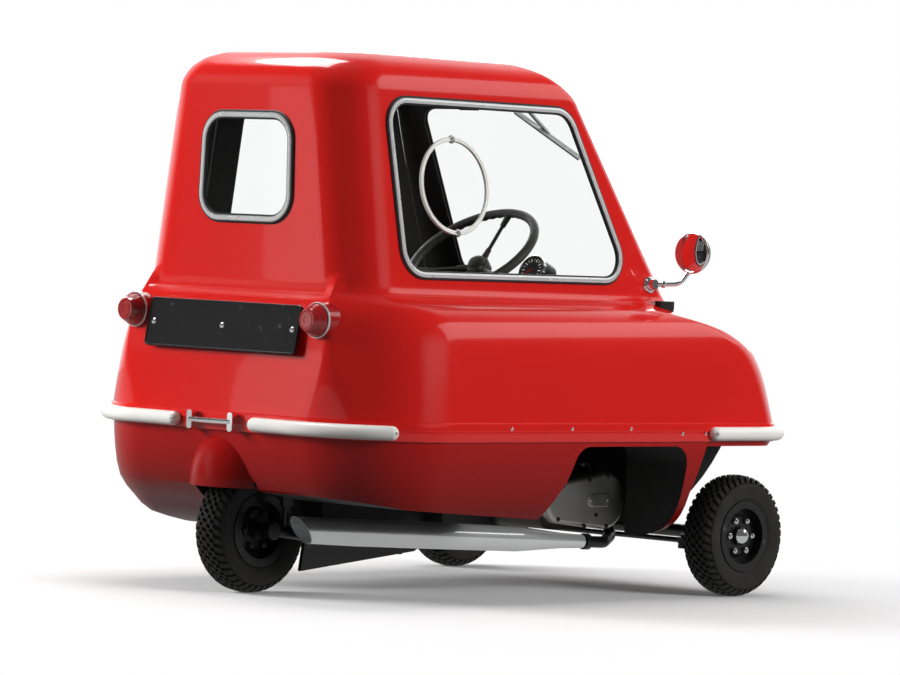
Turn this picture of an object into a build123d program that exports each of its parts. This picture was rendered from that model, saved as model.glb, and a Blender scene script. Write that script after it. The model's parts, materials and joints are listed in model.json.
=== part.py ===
"""Small three wheeled car with a moulded body: one door, one seat, two steered front wheels and one rear wheel.

Millimetres. +X is forward, +Y is the car's left, +Z is up. The origin is on the ground, under the middle of the car.
"""

import math
import os

from build123d import *

os.makedirs("parts", exist_ok=True)

# Driving dimensions of the whole car
LENGTH = 1372.0
WIDTH = 990.0
HEIGHT = 1168.0
WALL = 6.0
GAP = 5.0
SEAT_GAP = 0.3

# Wheels and their places
TYRE_R = 136.0
TYRE_WIDTH = 82.0
RIM_SEAT_R = 66.0
RIM_FLANGE_R = 79.0
RIM_SHEET = 4.0
RIM_WIDTH = 62.0
HUB_R = 21.0
AXLE_R = 8.0
RUNNING_CLEARANCE = 0.08
REAR_AXLE_X = -550.0
FRONT_AXLE_X = 536.0
FRONT_TRACK = 860.0
KINGPIN_Y = 371.0
STEER_LOCK = 30.0

# Belt where the upper and lower mouldings meet
BELT_TOP_Z = 389.0
BELT_BOTTOM_Z = 348.0
BAND_PROUD = 4.0
BUMPER_DEPTH = 22.0
BUMPER_HEIGHT = 28.0
BELT_HALF_LENGTH = LENGTH / 2 - BUMPER_DEPTH
BELT_HALF_WIDTH = WIDTH / 2 - BUMPER_DEPTH
BELT_R_REAR = 235.0
BELT_R_FRONT = 79.0

# Flat walls of the cabin, from the sill to the edge of the roof
SILL_Z = 600.0
ROOF_CROWN = 83.0
ROOF_EDGE_Z = HEIGHT - ROOF_CROWN
CABIN_REAR = -603.0
CABIN_FRONT_SILL = 428.0
CABIN_FRONT_ROOF = 145.0
CABIN_HALF_SILL = 353.0
CABIN_HALF_ROOF = 283.0
CABIN_R_REAR = 110.0
CABIN_R_FRONT = 50.0
SIDE_LEAN = math.degrees(math.atan((CABIN_HALF_SILL - CABIN_HALF_ROOF) / (ROOF_EDGE_Z - SILL_Z)))
SCREEN_RAKE = math.degrees(math.atan((CABIN_FRONT_SILL - CABIN_FRONT_ROOF) / (ROOF_EDGE_Z - SILL_Z)))

# Shoulder sections, whose rear corners are cut off. Columns: height, rear x, front x, half width, half width of
# the flat rear, x where the cut meets the side, radius at each end of the cut, front corner radius
SHOULDER_SECTIONS = [
    (BELT_TOP_Z, -660, 660, 469, 333, -524, 226, 226, 75),
    (490, -653, 644, 459, 315, -522, 80, 230, 98),
    (547, -646, 622, 450, 306, -515, 34, 236, 114),
    (600, -637, 556, 430, 300, -506, 18, 220, 138),
    (630, -628, 458, 398, 290, -514, 16, 160, 150),
    (652, -596, 388, 337, 276, -536, 60, 100, 44),
]
# Sections of cabin and tub. Columns: height, rear x, front x, half width, rear corner radius, front corner radius
CABIN_SECTIONS = [
    (SILL_Z, CABIN_REAR, CABIN_FRONT_SILL, CABIN_HALF_SILL, CABIN_R_REAR, CABIN_R_FRONT),
    (ROOF_EDGE_Z, CABIN_REAR, CABIN_FRONT_ROOF, CABIN_HALF_ROOF, CABIN_R_REAR, CABIN_R_FRONT),
    (HEIGHT - 48, -594, 110, 271, 116, 56),
    (HEIGHT - 23, -570, 66, 250, 112, 62),
    (HEIGHT - 8, -530, 8, 218, 104, 66),
    (HEIGHT, -460, -80, 160, 90, 66),
]
TUB_SECTIONS = [
    (131, -462, 366, 345, 75, 70),
    (150, -522, 400, 396, 88, 80),
    (185, -574, 455, 428, 140, 90),
    (228, -628, 545, 446, 188, 86),
    (290, -648, 612, 459, 212, 80),
    (BELT_BOTTOM_Z, -657, 657, 466, 228, 74),
]
ROW_STEPS = 2


def eased(rows, before=None):
    """More rows between the rows of a table, on a smooth curve through them."""
    first = before or [2 * a - b for a, b in zip(rows[0], rows[1])]
    last = [2 * a - b for a, b in zip(rows[-1], rows[-2])]
    keys = [first, *rows, last]
    result = []
    for p0, p1, p2, p3 in zip(keys, keys[1:], keys[2:], keys[3:]):
        for k in range(ROW_STEPS):
            t = k / ROW_STEPS
            weights = (
                (-t + 2 * t**2 - t**3) / 2,
                (2 - 5 * t**2 + 3 * t**3) / 2,
                (t + 4 * t**2 - 3 * t**3) / 2,
                (t**3 - t**2) / 2,
            )
            result.append(tuple(sum(w * v for w, v in zip(weights, col)) for col in zip(p0, p1, p2, p3)))
    return result + [tuple(rows[-1])]


wall_foot = [e + 0.1 * (f - e) for e, f in zip(CABIN_SECTIONS[1], CABIN_SECTIONS[0])]
SHOULDER_ROWS = eased(SHOULDER_SECTIONS)
CABIN_ROWS = [CABIN_SECTIONS[0], *eased(CABIN_SECTIONS[1:], wall_foot)]
TUB_ROWS = eased(TUB_SECTIONS)


def section(height, rear, front, half, r_rear, r_front, inset=0.0):
    """Horizontal slice of the body: a rectangle with its own corner radius at each end."""
    outline = Polygon(
        (rear + inset, -half + inset),
        (front - inset, -half + inset),
        (front - inset, half - inset),
        (rear + inset, half - inset),
        align=None,
    )
    outline = fillet(outline.vertices().sort_by(Axis.X)[:2], r_rear - inset)
    outline = fillet(outline.vertices().sort_by(Axis.X)[-2:], r_front - inset)
    return Pos(0, 0, height) * outline


def rounded_loop(points, radii):
    """Closed outline with its own radius at each corner, as a face."""
    face = Polygon(*points, align=None)
    for point, radius in zip(points, radii):
        corner = face.vertices().sort_by_distance((*point, 0))[0]
        face = fillet(corner, radius)
    return face


def shoulder_section(height, rear, front, half, flat, cut_x, r_flat, r_cut, r_front, inset=0.0):
    """Slice with a slanting cut across each rear corner."""
    slant = math.atan2(half - flat, cut_x - rear)
    side_step = inset * math.tan(slant / 2)
    flat_step = inset * math.tan((math.pi / 2 - slant) / 2)
    right = [
        (rear + inset, flat - flat_step),
        (cut_x + side_step, half - inset),
        (front - inset, half - inset),
    ]
    points = [(x, -y) for x, y in right] + right[::-1]
    radii = [max(r - inset, 4) for r in (r_flat, r_cut, r_front, r_front, r_cut, r_flat)]
    return Pos(0, 0, height) * rounded_loop(points, radii)


def moulding(rows, inset=0.0, drop=0.0, shape=section):
    """Solid through a table of sections; inset and drop give the inside of the wall."""
    return loft([shape(z - drop, *row, inset=inset) for z, *row in rows], ruled=True)


def block(x, y, z):
    """Box between three pairs of limits."""
    return Pos((x[0] + x[1]) / 2, (y[0] + y[1]) / 2, (z[0] + z[1]) / 2) * Box(
        x[1] - x[0], y[1] - y[0], z[1] - z[0]
    )


def side_prism(points, y, radius=0.0):
    """Prism through the car: an outline in x and z, carried between two values of y."""
    outline = Polygon(*points, align=None)
    if radius:
        outline = fillet(outline.vertices(), radius)
    return extrude(Plane.XZ.offset(-y[1]) * outline, y[1] - y[0], dir=(0, -1, 0))


def rod(start, end, radius):
    """Round bar between two points."""
    axis = Vector(*end) - Vector(*start)
    return extrude(Plane(start, z_dir=axis) * Circle(radius), axis.length)


def tube_path(points, radii, radius, bore=0.0):
    """Round tube along straight runs joined by arcs."""
    path = FilletPolyline(*points, radius=radii) if len(points) > 2 else Polyline(*points)
    profile = Circle(radius) - Circle(bore) if bore else Circle(radius)
    return sweep(Plane(path @ 0, z_dir=path % 0) * profile, path=path)


# Upper moulding: shoulders, nose and cabin in one hollow shell

def belt_outline(grow, r_rear=BELT_R_REAR, r_front=BELT_R_FRONT):
    """Plan of the belt band, grown outwards."""
    return section(
        0,
        -BELT_HALF_LENGTH - grow,
        BELT_HALF_LENGTH + grow,
        BELT_HALF_WIDTH + grow,
        r_rear + grow,
        r_front + grow,
    )


def upper_outside():
    return moulding(SHOULDER_ROWS, shape=shoulder_section) + moulding(CABIN_ROWS)


def upper_inside():
    shoulders = [(BELT_BOTTOM_Z - 1, *SHOULDER_SECTIONS[0][1:]), *SHOULDER_ROWS]
    cabin = [(SILL_Z - 20, *CABIN_SECTIONS[0][1:]), *CABIN_ROWS]
    return moulding(shoulders, WALL, WALL / 2, shoulder_section) + moulding(cabin, WALL, WALL)


def belt_band():
    ring = belt_outline(0) - belt_outline(-BAND_PROUD - WALL - 2)
    return extrude(Pos(0, 0, BELT_BOTTOM_Z) * ring, BELT_TOP_Z - BELT_BOTTOM_Z)


shell = upper_outside() - upper_inside() + belt_band()

# Window planes. Local x runs forward on the sides and to the right across the ends; local y runs up the wall
RIGHT_WALL = Plane((0, -CABIN_HALF_SILL, SILL_Z), x_dir=(1, 0, 0),
                   z_dir=(0, -math.cos(math.radians(SIDE_LEAN)), math.sin(math.radians(SIDE_LEAN))))
SCREEN_WALL = Plane((CABIN_FRONT_SILL, 0, SILL_Z), x_dir=(0, 1, 0),
                    z_dir=(math.cos(math.radians(SCREEN_RAKE)), 0, math.sin(math.radians(SCREEN_RAKE))))
REAR_WALL = Plane((CABIN_REAR, 0, SILL_Z), x_dir=(0, -1, 0), z_dir=(-1, 0, 0))

# Window openings: corner points on the wall, with a radius for each. Their tops follow the length of the wall
WALL_RISE = ROOF_EDGE_Z - SILL_Z
SIDE_FOOT, SCREEN_FOOT = 97, 92
SIDE_TOP = round(math.hypot(WALL_RISE, CABIN_HALF_SILL - CABIN_HALF_ROOF)) - 25
SCREEN_TOP = round(math.hypot(WALL_RISE, CABIN_FRONT_SILL - CABIN_FRONT_ROOF)) - 17
REAR_FOOT, REAR_TOP = round(WALL_RISE * 0.412), round(WALL_RISE * 0.862)
SIDE_WINDOW = [(-455, SIDE_FOOT), (252, SIDE_FOOT), (84, SIDE_TOP), (-480, SIDE_TOP)]
SIDE_WINDOW_R = [58, 52, 58, 52]
DOOR_WINDOW = [(-345, SIDE_FOOT), (252, SIDE_FOOT), (84, SIDE_TOP), (-345, SIDE_TOP)]
SCREEN_WINDOW = [(-285, SCREEN_FOOT), (285, SCREEN_FOOT), (226, SCREEN_TOP), (-226, SCREEN_TOP)]
REAR_WINDOW = [(-134, REAR_FOOT), (134, REAR_FOOT), (128, REAR_TOP), (-128, REAR_TOP)]
SCREEN_R = [50, 50, 50, 50]
REAR_WINDOW_R = [52, 52, 52, 52]
SEAL_OUT = 12.0
SEAL_IN = 9.0
SEAL_PROUD = 6.0
GLASS_EDGE = 5.0
GLASS_T = 4.0


def window_set(plane, points, radii, wall):
    """Opening prism, glass and rubber seal of one window on a flat wall."""
    opening = rounded_loop(points, radii)
    cut = extrude(plane * opening, 60, both=True)
    glass = plane * extrude(offset(opening, -GLASS_EDGE), -GLASS_T)
    lip = plane * extrude(offset(opening, SEAL_OUT) - offset(opening, -SEAL_IN), SEAL_PROUD)
    web = plane * extrude(offset(opening, -SEAT_GAP) - offset(opening, -GLASS_EDGE), -wall)
    return cut, glass, lip + web


SIDE_WALL = WALL * math.cos(math.radians(SIDE_LEAN))
SCREEN_WALL_T = WALL * math.cos(math.radians(SCREEN_RAKE))
side_cut, side_glass, side_seal = window_set(RIGHT_WALL, SIDE_WINDOW, SIDE_WINDOW_R, SIDE_WALL)
screen_cut, screen_glass, screen_seal = window_set(SCREEN_WALL, SCREEN_WINDOW, SCREEN_R, SCREEN_WALL_T)
rear_cut, rear_glass, rear_seal = window_set(REAR_WALL, REAR_WINDOW, REAR_WINDOW_R, WALL)
door_cut, door_glass, door_seal = (
    mirror(p, Plane.XZ) for p in window_set(RIGHT_WALL, DOOR_WINDOW, SIDE_WINDOW_R, SIDE_WALL)
)

# Round vent ring on the outside of the right pane
VENT_X, VENT_RIM = -292.0, 9.0
VENT_UP = (SIDE_FOOT + SIDE_TOP) / 2 + 7
VENT_R = round((SIDE_TOP - SIDE_FOOT) * 0.26)
vent_plane = RIGHT_WALL * Pos(VENT_X, VENT_UP)
vent_ring = vent_plane * extrude(Circle(VENT_R + VENT_RIM) - Circle(VENT_R), 4)

# Door in the left wall, hinged at its rear edge
DOOR_REAR, DOOR_FRONT, DOOR_TOP, DOOR_BOTTOM = -420.0, 305.0, ROOF_EDGE_Z - 7, 400.0
DOOR_FRONT_TOP = 120.0
DOOR_CORNER_R = 45.0
DOOR_OUTLINE = [
    (DOOR_REAR, DOOR_BOTTOM),
    (DOOR_FRONT, DOOR_BOTTOM),
    (DOOR_FRONT, 690.0),
    (DOOR_FRONT_TOP, DOOR_TOP),
    (DOOR_REAR, DOOR_TOP),
]


def door_prism(grow):
    outline = fillet(Polygon(*DOOR_OUTLINE, align=None).vertices(), DOOR_CORNER_R)
    outline = offset(outline, grow) if grow else outline
    return extrude(Plane.XZ.offset(-600) * outline, 450, dir=(0, -1, 0))


door_panel = (shell & door_prism(0)) - door_cut
shell = shell - door_prism(GAP) - side_cut - screen_cut - rear_cut

parts = {
    "upper_shell": shell,
    "windscreen_glass": screen_glass,
    "windscreen_seal": screen_seal,
    "rear_glass": rear_glass,
    "rear_seal": rear_seal,
    "side_glass": side_glass,
    "side_seal": side_seal,
    "vent_ring": vent_ring,
    "door_panel": door_panel,
    "door_glass": door_glass,
    "door_seal": door_seal,
}

# Lower moulding: tub with front wheel arches, an engine bay, a rear wheel tunnel and a bulge behind the rear tyre
ARCH_INNER_Y = 296.0
ARCH_TOP_Z = 338.0
ARCH = [(394, ARCH_TOP_Z), (760, ARCH_TOP_Z), (760, -10), (345, -10), (352, 100), (362, 230)]
BAY_INNER_Y = -70.0
BAY_TOP_Z = 338.0
BAY = [(-110, -10), (-110, 172), (-48, 262), (-20, BAY_TOP_Z), (335, BAY_TOP_Z), (335, -10)]
BAY_R = 45.0
BAY_ROOM_X = (-60.0, 402.0)
RECESS = [(-760, -10), (-760, 240), (-642, 226), (-505, 204), (-71, 177), (-71, -10)]
RECESS_INNER_Y = -58.0
TUNNEL_HALF = 98.0
TUNNEL_TOP_Z = 300.0
TUNNEL_FRONT_X = -392.0
REAR_PANEL_LOW_Z = 228.0
BULGE_X, BULGE_Y = -570.0, 6.0
BULGE_ARC = [(114, REAR_PANEL_LOW_Z), (107, 290), (80, 341)]


def grown(points, grow):
    """Outline moved outwards with sharp corners."""
    outline = Polygon(*points, align=None)
    return offset(outline, grow, kind=Kind.INTERSECTION) if grow else outline


def arches(grow):
    left = extrude(Plane.XZ.offset(-600) * grown(ARCH, grow), 600 - ARCH_INNER_Y + grow, dir=(0, -1, 0))
    return left + mirror(left, Plane.XZ)


def engine_bay(grow):
    outline = Polygon(*BAY, align=None)
    outline = fillet(outline.vertices().sort_by(Axis.Y)[-2:], BAY_R)
    outline = offset(outline, grow) if grow else outline
    mouth = extrude(Plane.XZ.offset(-BAY_INNER_Y + 40 - grow) * outline, 600, dir=(0, -1, 0))
    room = block(
        (BAY_ROOM_X[0] - grow, BAY_ROOM_X[1] + grow),
        (-ARCH_INNER_Y + 12 - grow, BAY_INNER_Y + grow),
        (-10, BAY_TOP_Z + grow),
    )
    return mouth + room


def exhaust_recess(grow):
    outline = grown(RECESS, grow)
    return extrude(Plane.XZ.offset(-RECESS_INNER_Y - grow) * outline, 600, dir=(0, -1, 0))


def tunnel(grow):
    low = block((-760, TUNNEL_FRONT_X + grow), (-TUNNEL_HALF - grow, TUNNEL_HALF + grow), (-10, REAR_PANEL_LOW_Z))
    high = block(
        (-634, TUNNEL_FRONT_X + grow),
        (-TUNNEL_HALF - grow, TUNNEL_HALF + grow),
        (REAR_PANEL_LOW_Z - 1, TUNNEL_TOP_Z + grow),
    )
    return low + high


def bulge(inset):
    """Half dome on the rear panel."""
    low, middle, top = [(r - inset, z) for r, z in BULGE_ARC]
    edge = ThreePointArc(low, middle, top) + Polyline(top, (0, top[1]), (0, low[1]), low)
    dome = Pos(BULGE_X, BULGE_Y, 0) * revolve(Plane.XZ * make_face(edge), Axis.Z)
    return dome & block((-760, -620), (-150, 150), (0, top[1]))


tub_inside_rows = [(z + WALL if z < 200 else z, *row) for z, *row in TUB_ROWS]
tub_inside_rows.append((BELT_BOTTOM_Z + 2, *TUB_SECTIONS[-1][1:]))
tub_outside = moulding(TUB_ROWS) - arches(0) - engine_bay(0) - tunnel(0) - exhaust_recess(0)
tub_inside = moulding(tub_inside_rows, WALL) - arches(WALL) - engine_bay(WALL) - tunnel(WALL)
tub_inside = tub_inside - exhaust_recess(WALL)
tub = tub_outside - tub_inside
tub = tub + (bulge(0) - moulding(TUB_ROWS)) - bulge(WALL)
parts["lower_tub"] = tub

# Things seated on the body are cut to its outside
body_outside = upper_outside()
tub_solid = moulding(TUB_ROWS)


def seated(shape):
    """The part of a shape that stands outside the upper body."""
    return shape - body_outside


# Rear wall: tail lamps, number plate and lifting handle
LAMP_Y, LAMP_Z = 279.0, 593.0
LAMP_BASE_R, LAMP_FACE_R = 38.0, 25.0
LAMP_BASE_X, LAMP_FACE_X = -652.0, -684.0
lamp_axis = Plane((0, 0, LAMP_Z), x_dir=(0, 1, 0), z_dir=(-1, 0, 0))
lamp_bases = []
lamp_lenses = []
for side in (-1, 1):
    pad = rod((-600, side * LAMP_Y, LAMP_Z), (LAMP_BASE_X, side * LAMP_Y, LAMP_Z), LAMP_BASE_R)
    lamp_bases.append(seated(pad).solids().sort_by(Axis.X)[0])
    lens = Cone(LAMP_BASE_R - 3, LAMP_FACE_R, LAMP_BASE_X - LAMP_FACE_X)
    lens = fillet(lens.edges().sort_by(Axis.Z)[-1], 6)
    lens = lamp_axis * Pos(side * LAMP_Y, 0, -LAMP_BASE_X + (LAMP_BASE_X - LAMP_FACE_X) / 2) * lens
    lamp_lenses.append(lens)
parts["tail_lamp_bases"] = Compound(lamp_bases)
parts["tail_lamps"] = Compound(lamp_lenses)

PLATE_WIDTH, PLATE_HEIGHT, PLATE_T = 462.0, 106.0, 3.0
PLATE_CENTRE = (-657.0, 0.0, 570.0)
PLATE_TILT = 10.6
plate_plane = Plane(PLATE_CENTRE, x_dir=(0, -1, 0),
                    z_dir=(-math.cos(math.radians(PLATE_TILT)), 0, math.sin(math.radians(PLATE_TILT))))
plate = plate_plane * extrude(fillet(Rectangle(PLATE_WIDTH, PLATE_HEIGHT).vertices(), 10), -PLATE_T)
PLATE_BOLTS = [(-212, 0), (0, 0), (212, 0)]
for u, v in PLATE_BOLTS:
    post = plate_plane * Pos(u, v, -PLATE_T) * extrude(Circle(9), -40)
    plate += seated(post).solids().sort_by(Axis.X)[0]
parts["number_plate"] = plate

HANDLE_Z, HANDLE_Y = 368.0, 62.0
belt_rear_x = -BELT_HALF_LENGTH
handle = rod((belt_rear_x - 16, -HANDLE_Y, HANDLE_Z), (belt_rear_x - 16, HANDLE_Y, HANDLE_Z), 6)
for side in (-1, 1):
    foot = fillet(Rectangle(15, 40).vertices(), 6)
    foot = extrude(Plane((belt_rear_x, side * HANDLE_Y, HANDLE_Z), x_dir=(0, 1, 0), z_dir=(-1, 0, 0)) * foot, 20)
    handle += foot
parts["lift_handle"] = handle

# Half round bumpers along the belt band
BUMPER_Z = 366.0
REAR_BUMPER_IN_Y = 124.0
REAR_BUMPER_TURN = 53.5
FRONT_BUMPER_REAR_X = 406.0
FRONT_BUMPER_IN_Y = 150.0


def bumper_section(plane):
    """Half round profile: flat on the band, round outside."""
    half = BUMPER_HEIGHT / 2
    edge = ThreePointArc((0, -half), (BUMPER_DEPTH, 0), (0, half)) + Line((0, half), (0, -half))
    return plane * make_face(edge)


def bumper_end(place, outward):
    """Dome with the bumper's own profile, turned about its outward axis."""
    half = BUMPER_HEIGHT / 2
    arc = ThreePointArc((0, -half), (BUMPER_DEPTH, 0), (0, half)).trim(0.5, 1)
    profile = make_face(arc + Polyline((0, half), (0, 0), (BUMPER_DEPTH, 0)))
    return Plane(place, x_dir=outward, z_dir=(0, 0, 1)) * revolve(profile, Axis.X)


def bumper(path):
    """Half round bar along the band, with rounded ends."""
    tangents = [path % 0, path % 1]
    outward = [Vector(t.Y, -t.X, 0) for t in tangents]
    bar = sweep(bumper_section(Plane(path @ 0, x_dir=outward[0], z_dir=tangents[0])), path=path)
    return bar + bumper_end(path @ 0, outward[0]) + bumper_end(path @ 1, outward[1])


rear_centre = (-BELT_HALF_LENGTH + BELT_R_REAR, BELT_HALF_WIDTH - BELT_R_REAR)
front_centre = (BELT_HALF_LENGTH - BELT_R_FRONT, BELT_HALF_WIDTH - BELT_R_FRONT)
turn = math.radians(REAR_BUMPER_TURN)
rear_run = Line((-BELT_HALF_LENGTH, -REAR_BUMPER_IN_Y, BUMPER_Z), (-BELT_HALF_LENGTH, -rear_centre[1], BUMPER_Z))
rear_bend = TangentArc(
    rear_run @ 1,
    (
        rear_centre[0] - BELT_R_REAR * math.cos(turn),
        -rear_centre[1] - BELT_R_REAR * math.sin(turn),
        BUMPER_Z,
    ),
    tangent=rear_run % 1,
)
rear_path = Wire([rear_run, rear_bend])
front_run = Line((FRONT_BUMPER_REAR_X, -BELT_HALF_WIDTH, BUMPER_Z), (front_centre[0], -BELT_HALF_WIDTH, BUMPER_Z))
front_bend = TangentArc(front_run @ 1, (BELT_HALF_LENGTH, -front_centre[1], BUMPER_Z), tangent=front_run % 1)
front_end = Line(front_bend @ 1, (BELT_HALF_LENGTH, -FRONT_BUMPER_IN_Y, BUMPER_Z))
front_path = Wire([front_run, front_bend, front_end])
right_rear = bumper(rear_path)
right_front = bumper(front_path)
parts["rear_bumpers"] = Compound([right_rear, mirror(right_rear, Plane.XZ)])
parts["front_bumpers"] = Compound([right_front, mirror(right_front, Plane.XZ)])

# Headlamp in the middle of the nose
HEADLAMP_Z, HEADLAMP_R = 500.0, 72.0
HEADLAMP_FACE_X = 672.0
lamp = rod((560, 0, HEADLAMP_Z), (HEADLAMP_FACE_X, 0, HEADLAMP_Z), HEADLAMP_R)
lamp = seated(lamp).solids().sort_by(Axis.X)[-1]
LENS_R, LENS_DOME = HEADLAMP_R - 8, 12.0
lens_edge = Polyline((LENS_R, 0), (0, 0), (0, 8 + LENS_DOME)) + Line((LENS_R, 8), (LENS_R, 0))
lens_edge += ThreePointArc((0, 8 + LENS_DOME), (LENS_R * 0.55, 8 + LENS_DOME * 0.69), (LENS_R, 8))
headlamp_plane = Plane((HEADLAMP_FACE_X - 8, 0, HEADLAMP_Z), x_dir=(0, 1, 0), z_dir=(1, 0, 0))
lens_dome = headlamp_plane * revolve(Plane.XZ * make_face(lens_edge), Axis.Z)
lamp -= rod((HEADLAMP_FACE_X - 8, 0, HEADLAMP_Z), (720, 0, HEADLAMP_Z), LENS_R + SEAT_GAP)
parts["headlamp_rim"] = lamp
parts["headlamp_lens"] = lens_dome

# Right door mirror, pillar cap, wiper and inside mirror
MIRROR_HEAD = (388.0, -CABIN_HALF_SILL - 51, SILL_Z + 163)
MIRROR_TURN = 11.0
MIRROR_R = 45.0
mirror_dir = (-math.cos(math.radians(MIRROR_TURN)), -math.sin(math.radians(MIRROR_TURN)), 0)
mirror_plane = Plane(MIRROR_HEAD, x_dir=(0, 0, 1), z_dir=mirror_dir)
mirror_shell = mirror_plane * (Pos(0, 0, 28) * Sphere(54) & Pos(0, 0, -20) * Cylinder(MIRROR_R, 40))
mirror_glass = mirror_plane * Cylinder(MIRROR_R - 4, 2.5, align=(Align.CENTER, Align.CENTER, Align.MIN))
MIRROR_FOOT = (318.0, -CABIN_HALF_SILL + 88 * math.tan(math.radians(SIDE_LEAN)), SILL_Z + 88)
foot_plane = Plane(MIRROR_FOOT, x_dir=(1, 0, 0), z_dir=RIGHT_WALL.z_dir)
mirror_foot = foot_plane * Cylinder(11, 20, align=(Align.CENTER, Align.CENTER, Align.MIN))
stalk = tube_path(
    [
        (320, -CABIN_HALF_SILL + 1, SILL_Z + 90),
        (374, -CABIN_HALF_SILL - 29, SILL_Z + 93),
        (403, -CABIN_HALF_SILL - 47, SILL_Z + 138),
    ],
    30,
    5,
)
stalk -= mirror_plane * Cylinder(MIRROR_R + 1, 40, align=(Align.CENTER, Align.CENTER, Align.MIN))
mirror_arm = mirror_shell + mirror_foot + stalk
parts["wing_mirror"] = mirror_arm
parts["wing_mirror_glass"] = mirror_glass

cap = fillet(Rectangle(44, 24).vertices(), 11.5)
cap = seated(extrude(Pos(338, -CABIN_HALF_SILL - 19, SILL_Z - 40) * Rot(0, 0, -25) * cap, 94)).solids().sort_by(Axis.Z)[-1]
parts["pillar_cap"] = cap

WIPER_PIVOT = Vector(-62, SCREEN_TOP + 30, 0)
BLADE_TOP, BLADE_TIP = Vector(-56, SCREEN_TOP - 15, 0), Vector(-203, SCREEN_TOP - 130, 0)


def screen_bar(start, end, width, lift):
    """Flat bar over the windscreen, between two points of its plane and two heights off it."""
    run = end - start
    lie = Pos(start.X, start.Y, lift[0]) * Rot(0, 0, math.degrees(math.atan2(run.Y, run.X)))
    return lie * Box(run.length, width, lift[1] - lift[0], align=(Align.MIN, Align.CENTER, Align.MIN))


wiper = Pos(WIPER_PIVOT.X, WIPER_PIVOT.Y, -12) * Cylinder(9, 30, align=(Align.CENTER, Align.CENTER, Align.MIN))
wiper += screen_bar(WIPER_PIVOT, (BLADE_TOP + BLADE_TIP) * 0.5, 7, (9, 14))
wiper += screen_bar(BLADE_TOP, BLADE_TIP, 5, (1, 13))
parts["wiper"] = seated(SCREEN_WALL * wiper).solids().sort_by(Axis.Z)[-1]

INNER_MIRROR = [(-12, 3), (-18, -7), (-6, -25), (44, -25), (58, -7), (52, 3)]
inner_mirror = extrude(Plane.YZ.offset(CABIN_FRONT_ROOF - 55) * Polygon(*INNER_MIRROR, align=None), 10)
inner_mirror = Pos(0, 0, ROOF_EDGE_Z) * inner_mirror
post_x = CABIN_FRONT_ROOF - 50
inner_mirror += rod((post_x, 20, ROOF_EDGE_Z - 5), (post_x, 20, ROOF_EDGE_Z + 55), 6)
parts["inside_mirror"] = inner_mirror & upper_inside()

# Cabin: seat, fascia, steering column and wheel
FLOOR_Z = TUB_SECTIONS[0][0] + WALL
SEAT_X = (-372.0, -30.0)
SEAT_HALF = 190.0
SEAT_TOP_Z = 348.0
seat_base = block(SEAT_X, (-SEAT_HALF, SEAT_HALF), (FLOOR_Z, SEAT_TOP_Z))
seat_base -= block((SEAT_X[0] + 15, SEAT_X[1] - 15), (-SEAT_HALF + 15, SEAT_HALF - 15), (FLOOR_Z - 5, SEAT_TOP_Z - 15))
cushion = block((-385, -10), (-200, 200), (SEAT_TOP_Z, SEAT_TOP_Z + 70))
cushion = fillet(cushion.edges(), 24)
back_place = Pos(-425, 0, 606) * Rot(0, -12, 0)
back = back_place * fillet(Box(70, 400, 380).edges(), 26)
for y in (-140, 140):
    seat_base += back_place * Pos(-39, y, -60) * Box(8, 34, 400)
    seat_base += block((-414, SEAT_X[0] + 5), (y - 17, y + 17), (SEAT_TOP_Z - 14, SEAT_TOP_Z))
for hollow in (engine_bay(WALL), exhaust_recess(WALL), tunnel(WALL)):
    seat_base -= hollow
parts["seat_base"] = seat_base
parts["seat_cushion"] = cushion
parts["seat_back"] = back

COLUMN_TILT = 52.0
WHEEL_CENTRE = Vector(62.0, -40.0, 742.0)
column_dir = Vector(math.cos(math.radians(COLUMN_TILT)), 0, -math.sin(math.radians(COLUMN_TILT)))
STEER_R, STEER_GRIP_R = 150.0, 10.5
wheel_plane = Plane(WHEEL_CENTRE, x_dir=(0, -1, 0), z_dir=column_dir * -1)
steer_rim = wheel_plane * Torus(STEER_R, STEER_GRIP_R)
steer_hub = wheel_plane * Pos(0, 0, -34) * Cylinder(26, 40)
steer_wheel = steer_rim + steer_hub
for turn_deg in (90, 210, 330):
    a = math.radians(turn_deg)
    tip = wheel_plane.from_local_coords(Vector(STEER_R * math.cos(a), STEER_R * math.sin(a), 0))
    root = wheel_plane.from_local_coords(Vector(16 * math.cos(a), 16 * math.sin(a), -34))
    steer_wheel += rod(root, tip, 5.5)
SHAFT_R = 10.0
shaft_start = WHEEL_CENTRE + column_dir * 50
steer_wheel += rod(shaft_start, WHEEL_CENTRE + column_dir * 130, SHAFT_R)
parts["steering_wheel"] = steer_wheel
COLUMN_TOP = WHEEL_CENTRE + column_dir * 64
COLUMN_END = WHEEL_CENTRE + column_dir * 740
column = (rod(COLUMN_TOP, COLUMN_END, 17) - tub).solids().sort_by(Axis.Z)[-1]
column -= rod(WHEEL_CENTRE, WHEEL_CENTRE + column_dir * 134, SHAFT_R + RUNNING_CLEARANCE)
shelf = block((250, 440), (-420, 420), (640, 650)) & upper_inside()
shelf -= block((240, 330), (318, 440), (600, 700))
dial_dir = Vector(-math.cos(math.radians(25)), 0, math.sin(math.radians(25)))
DIAL = Vector(300, -40, 690)
instrument = rod(DIAL, DIAL + dial_dir * 46, 36)
instrument += block((286, 306), (-54, -26), (650, 690))
parts["instrument"] = instrument
parts["steering_column"] = column
parts["fascia_shelf"] = shelf

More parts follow.
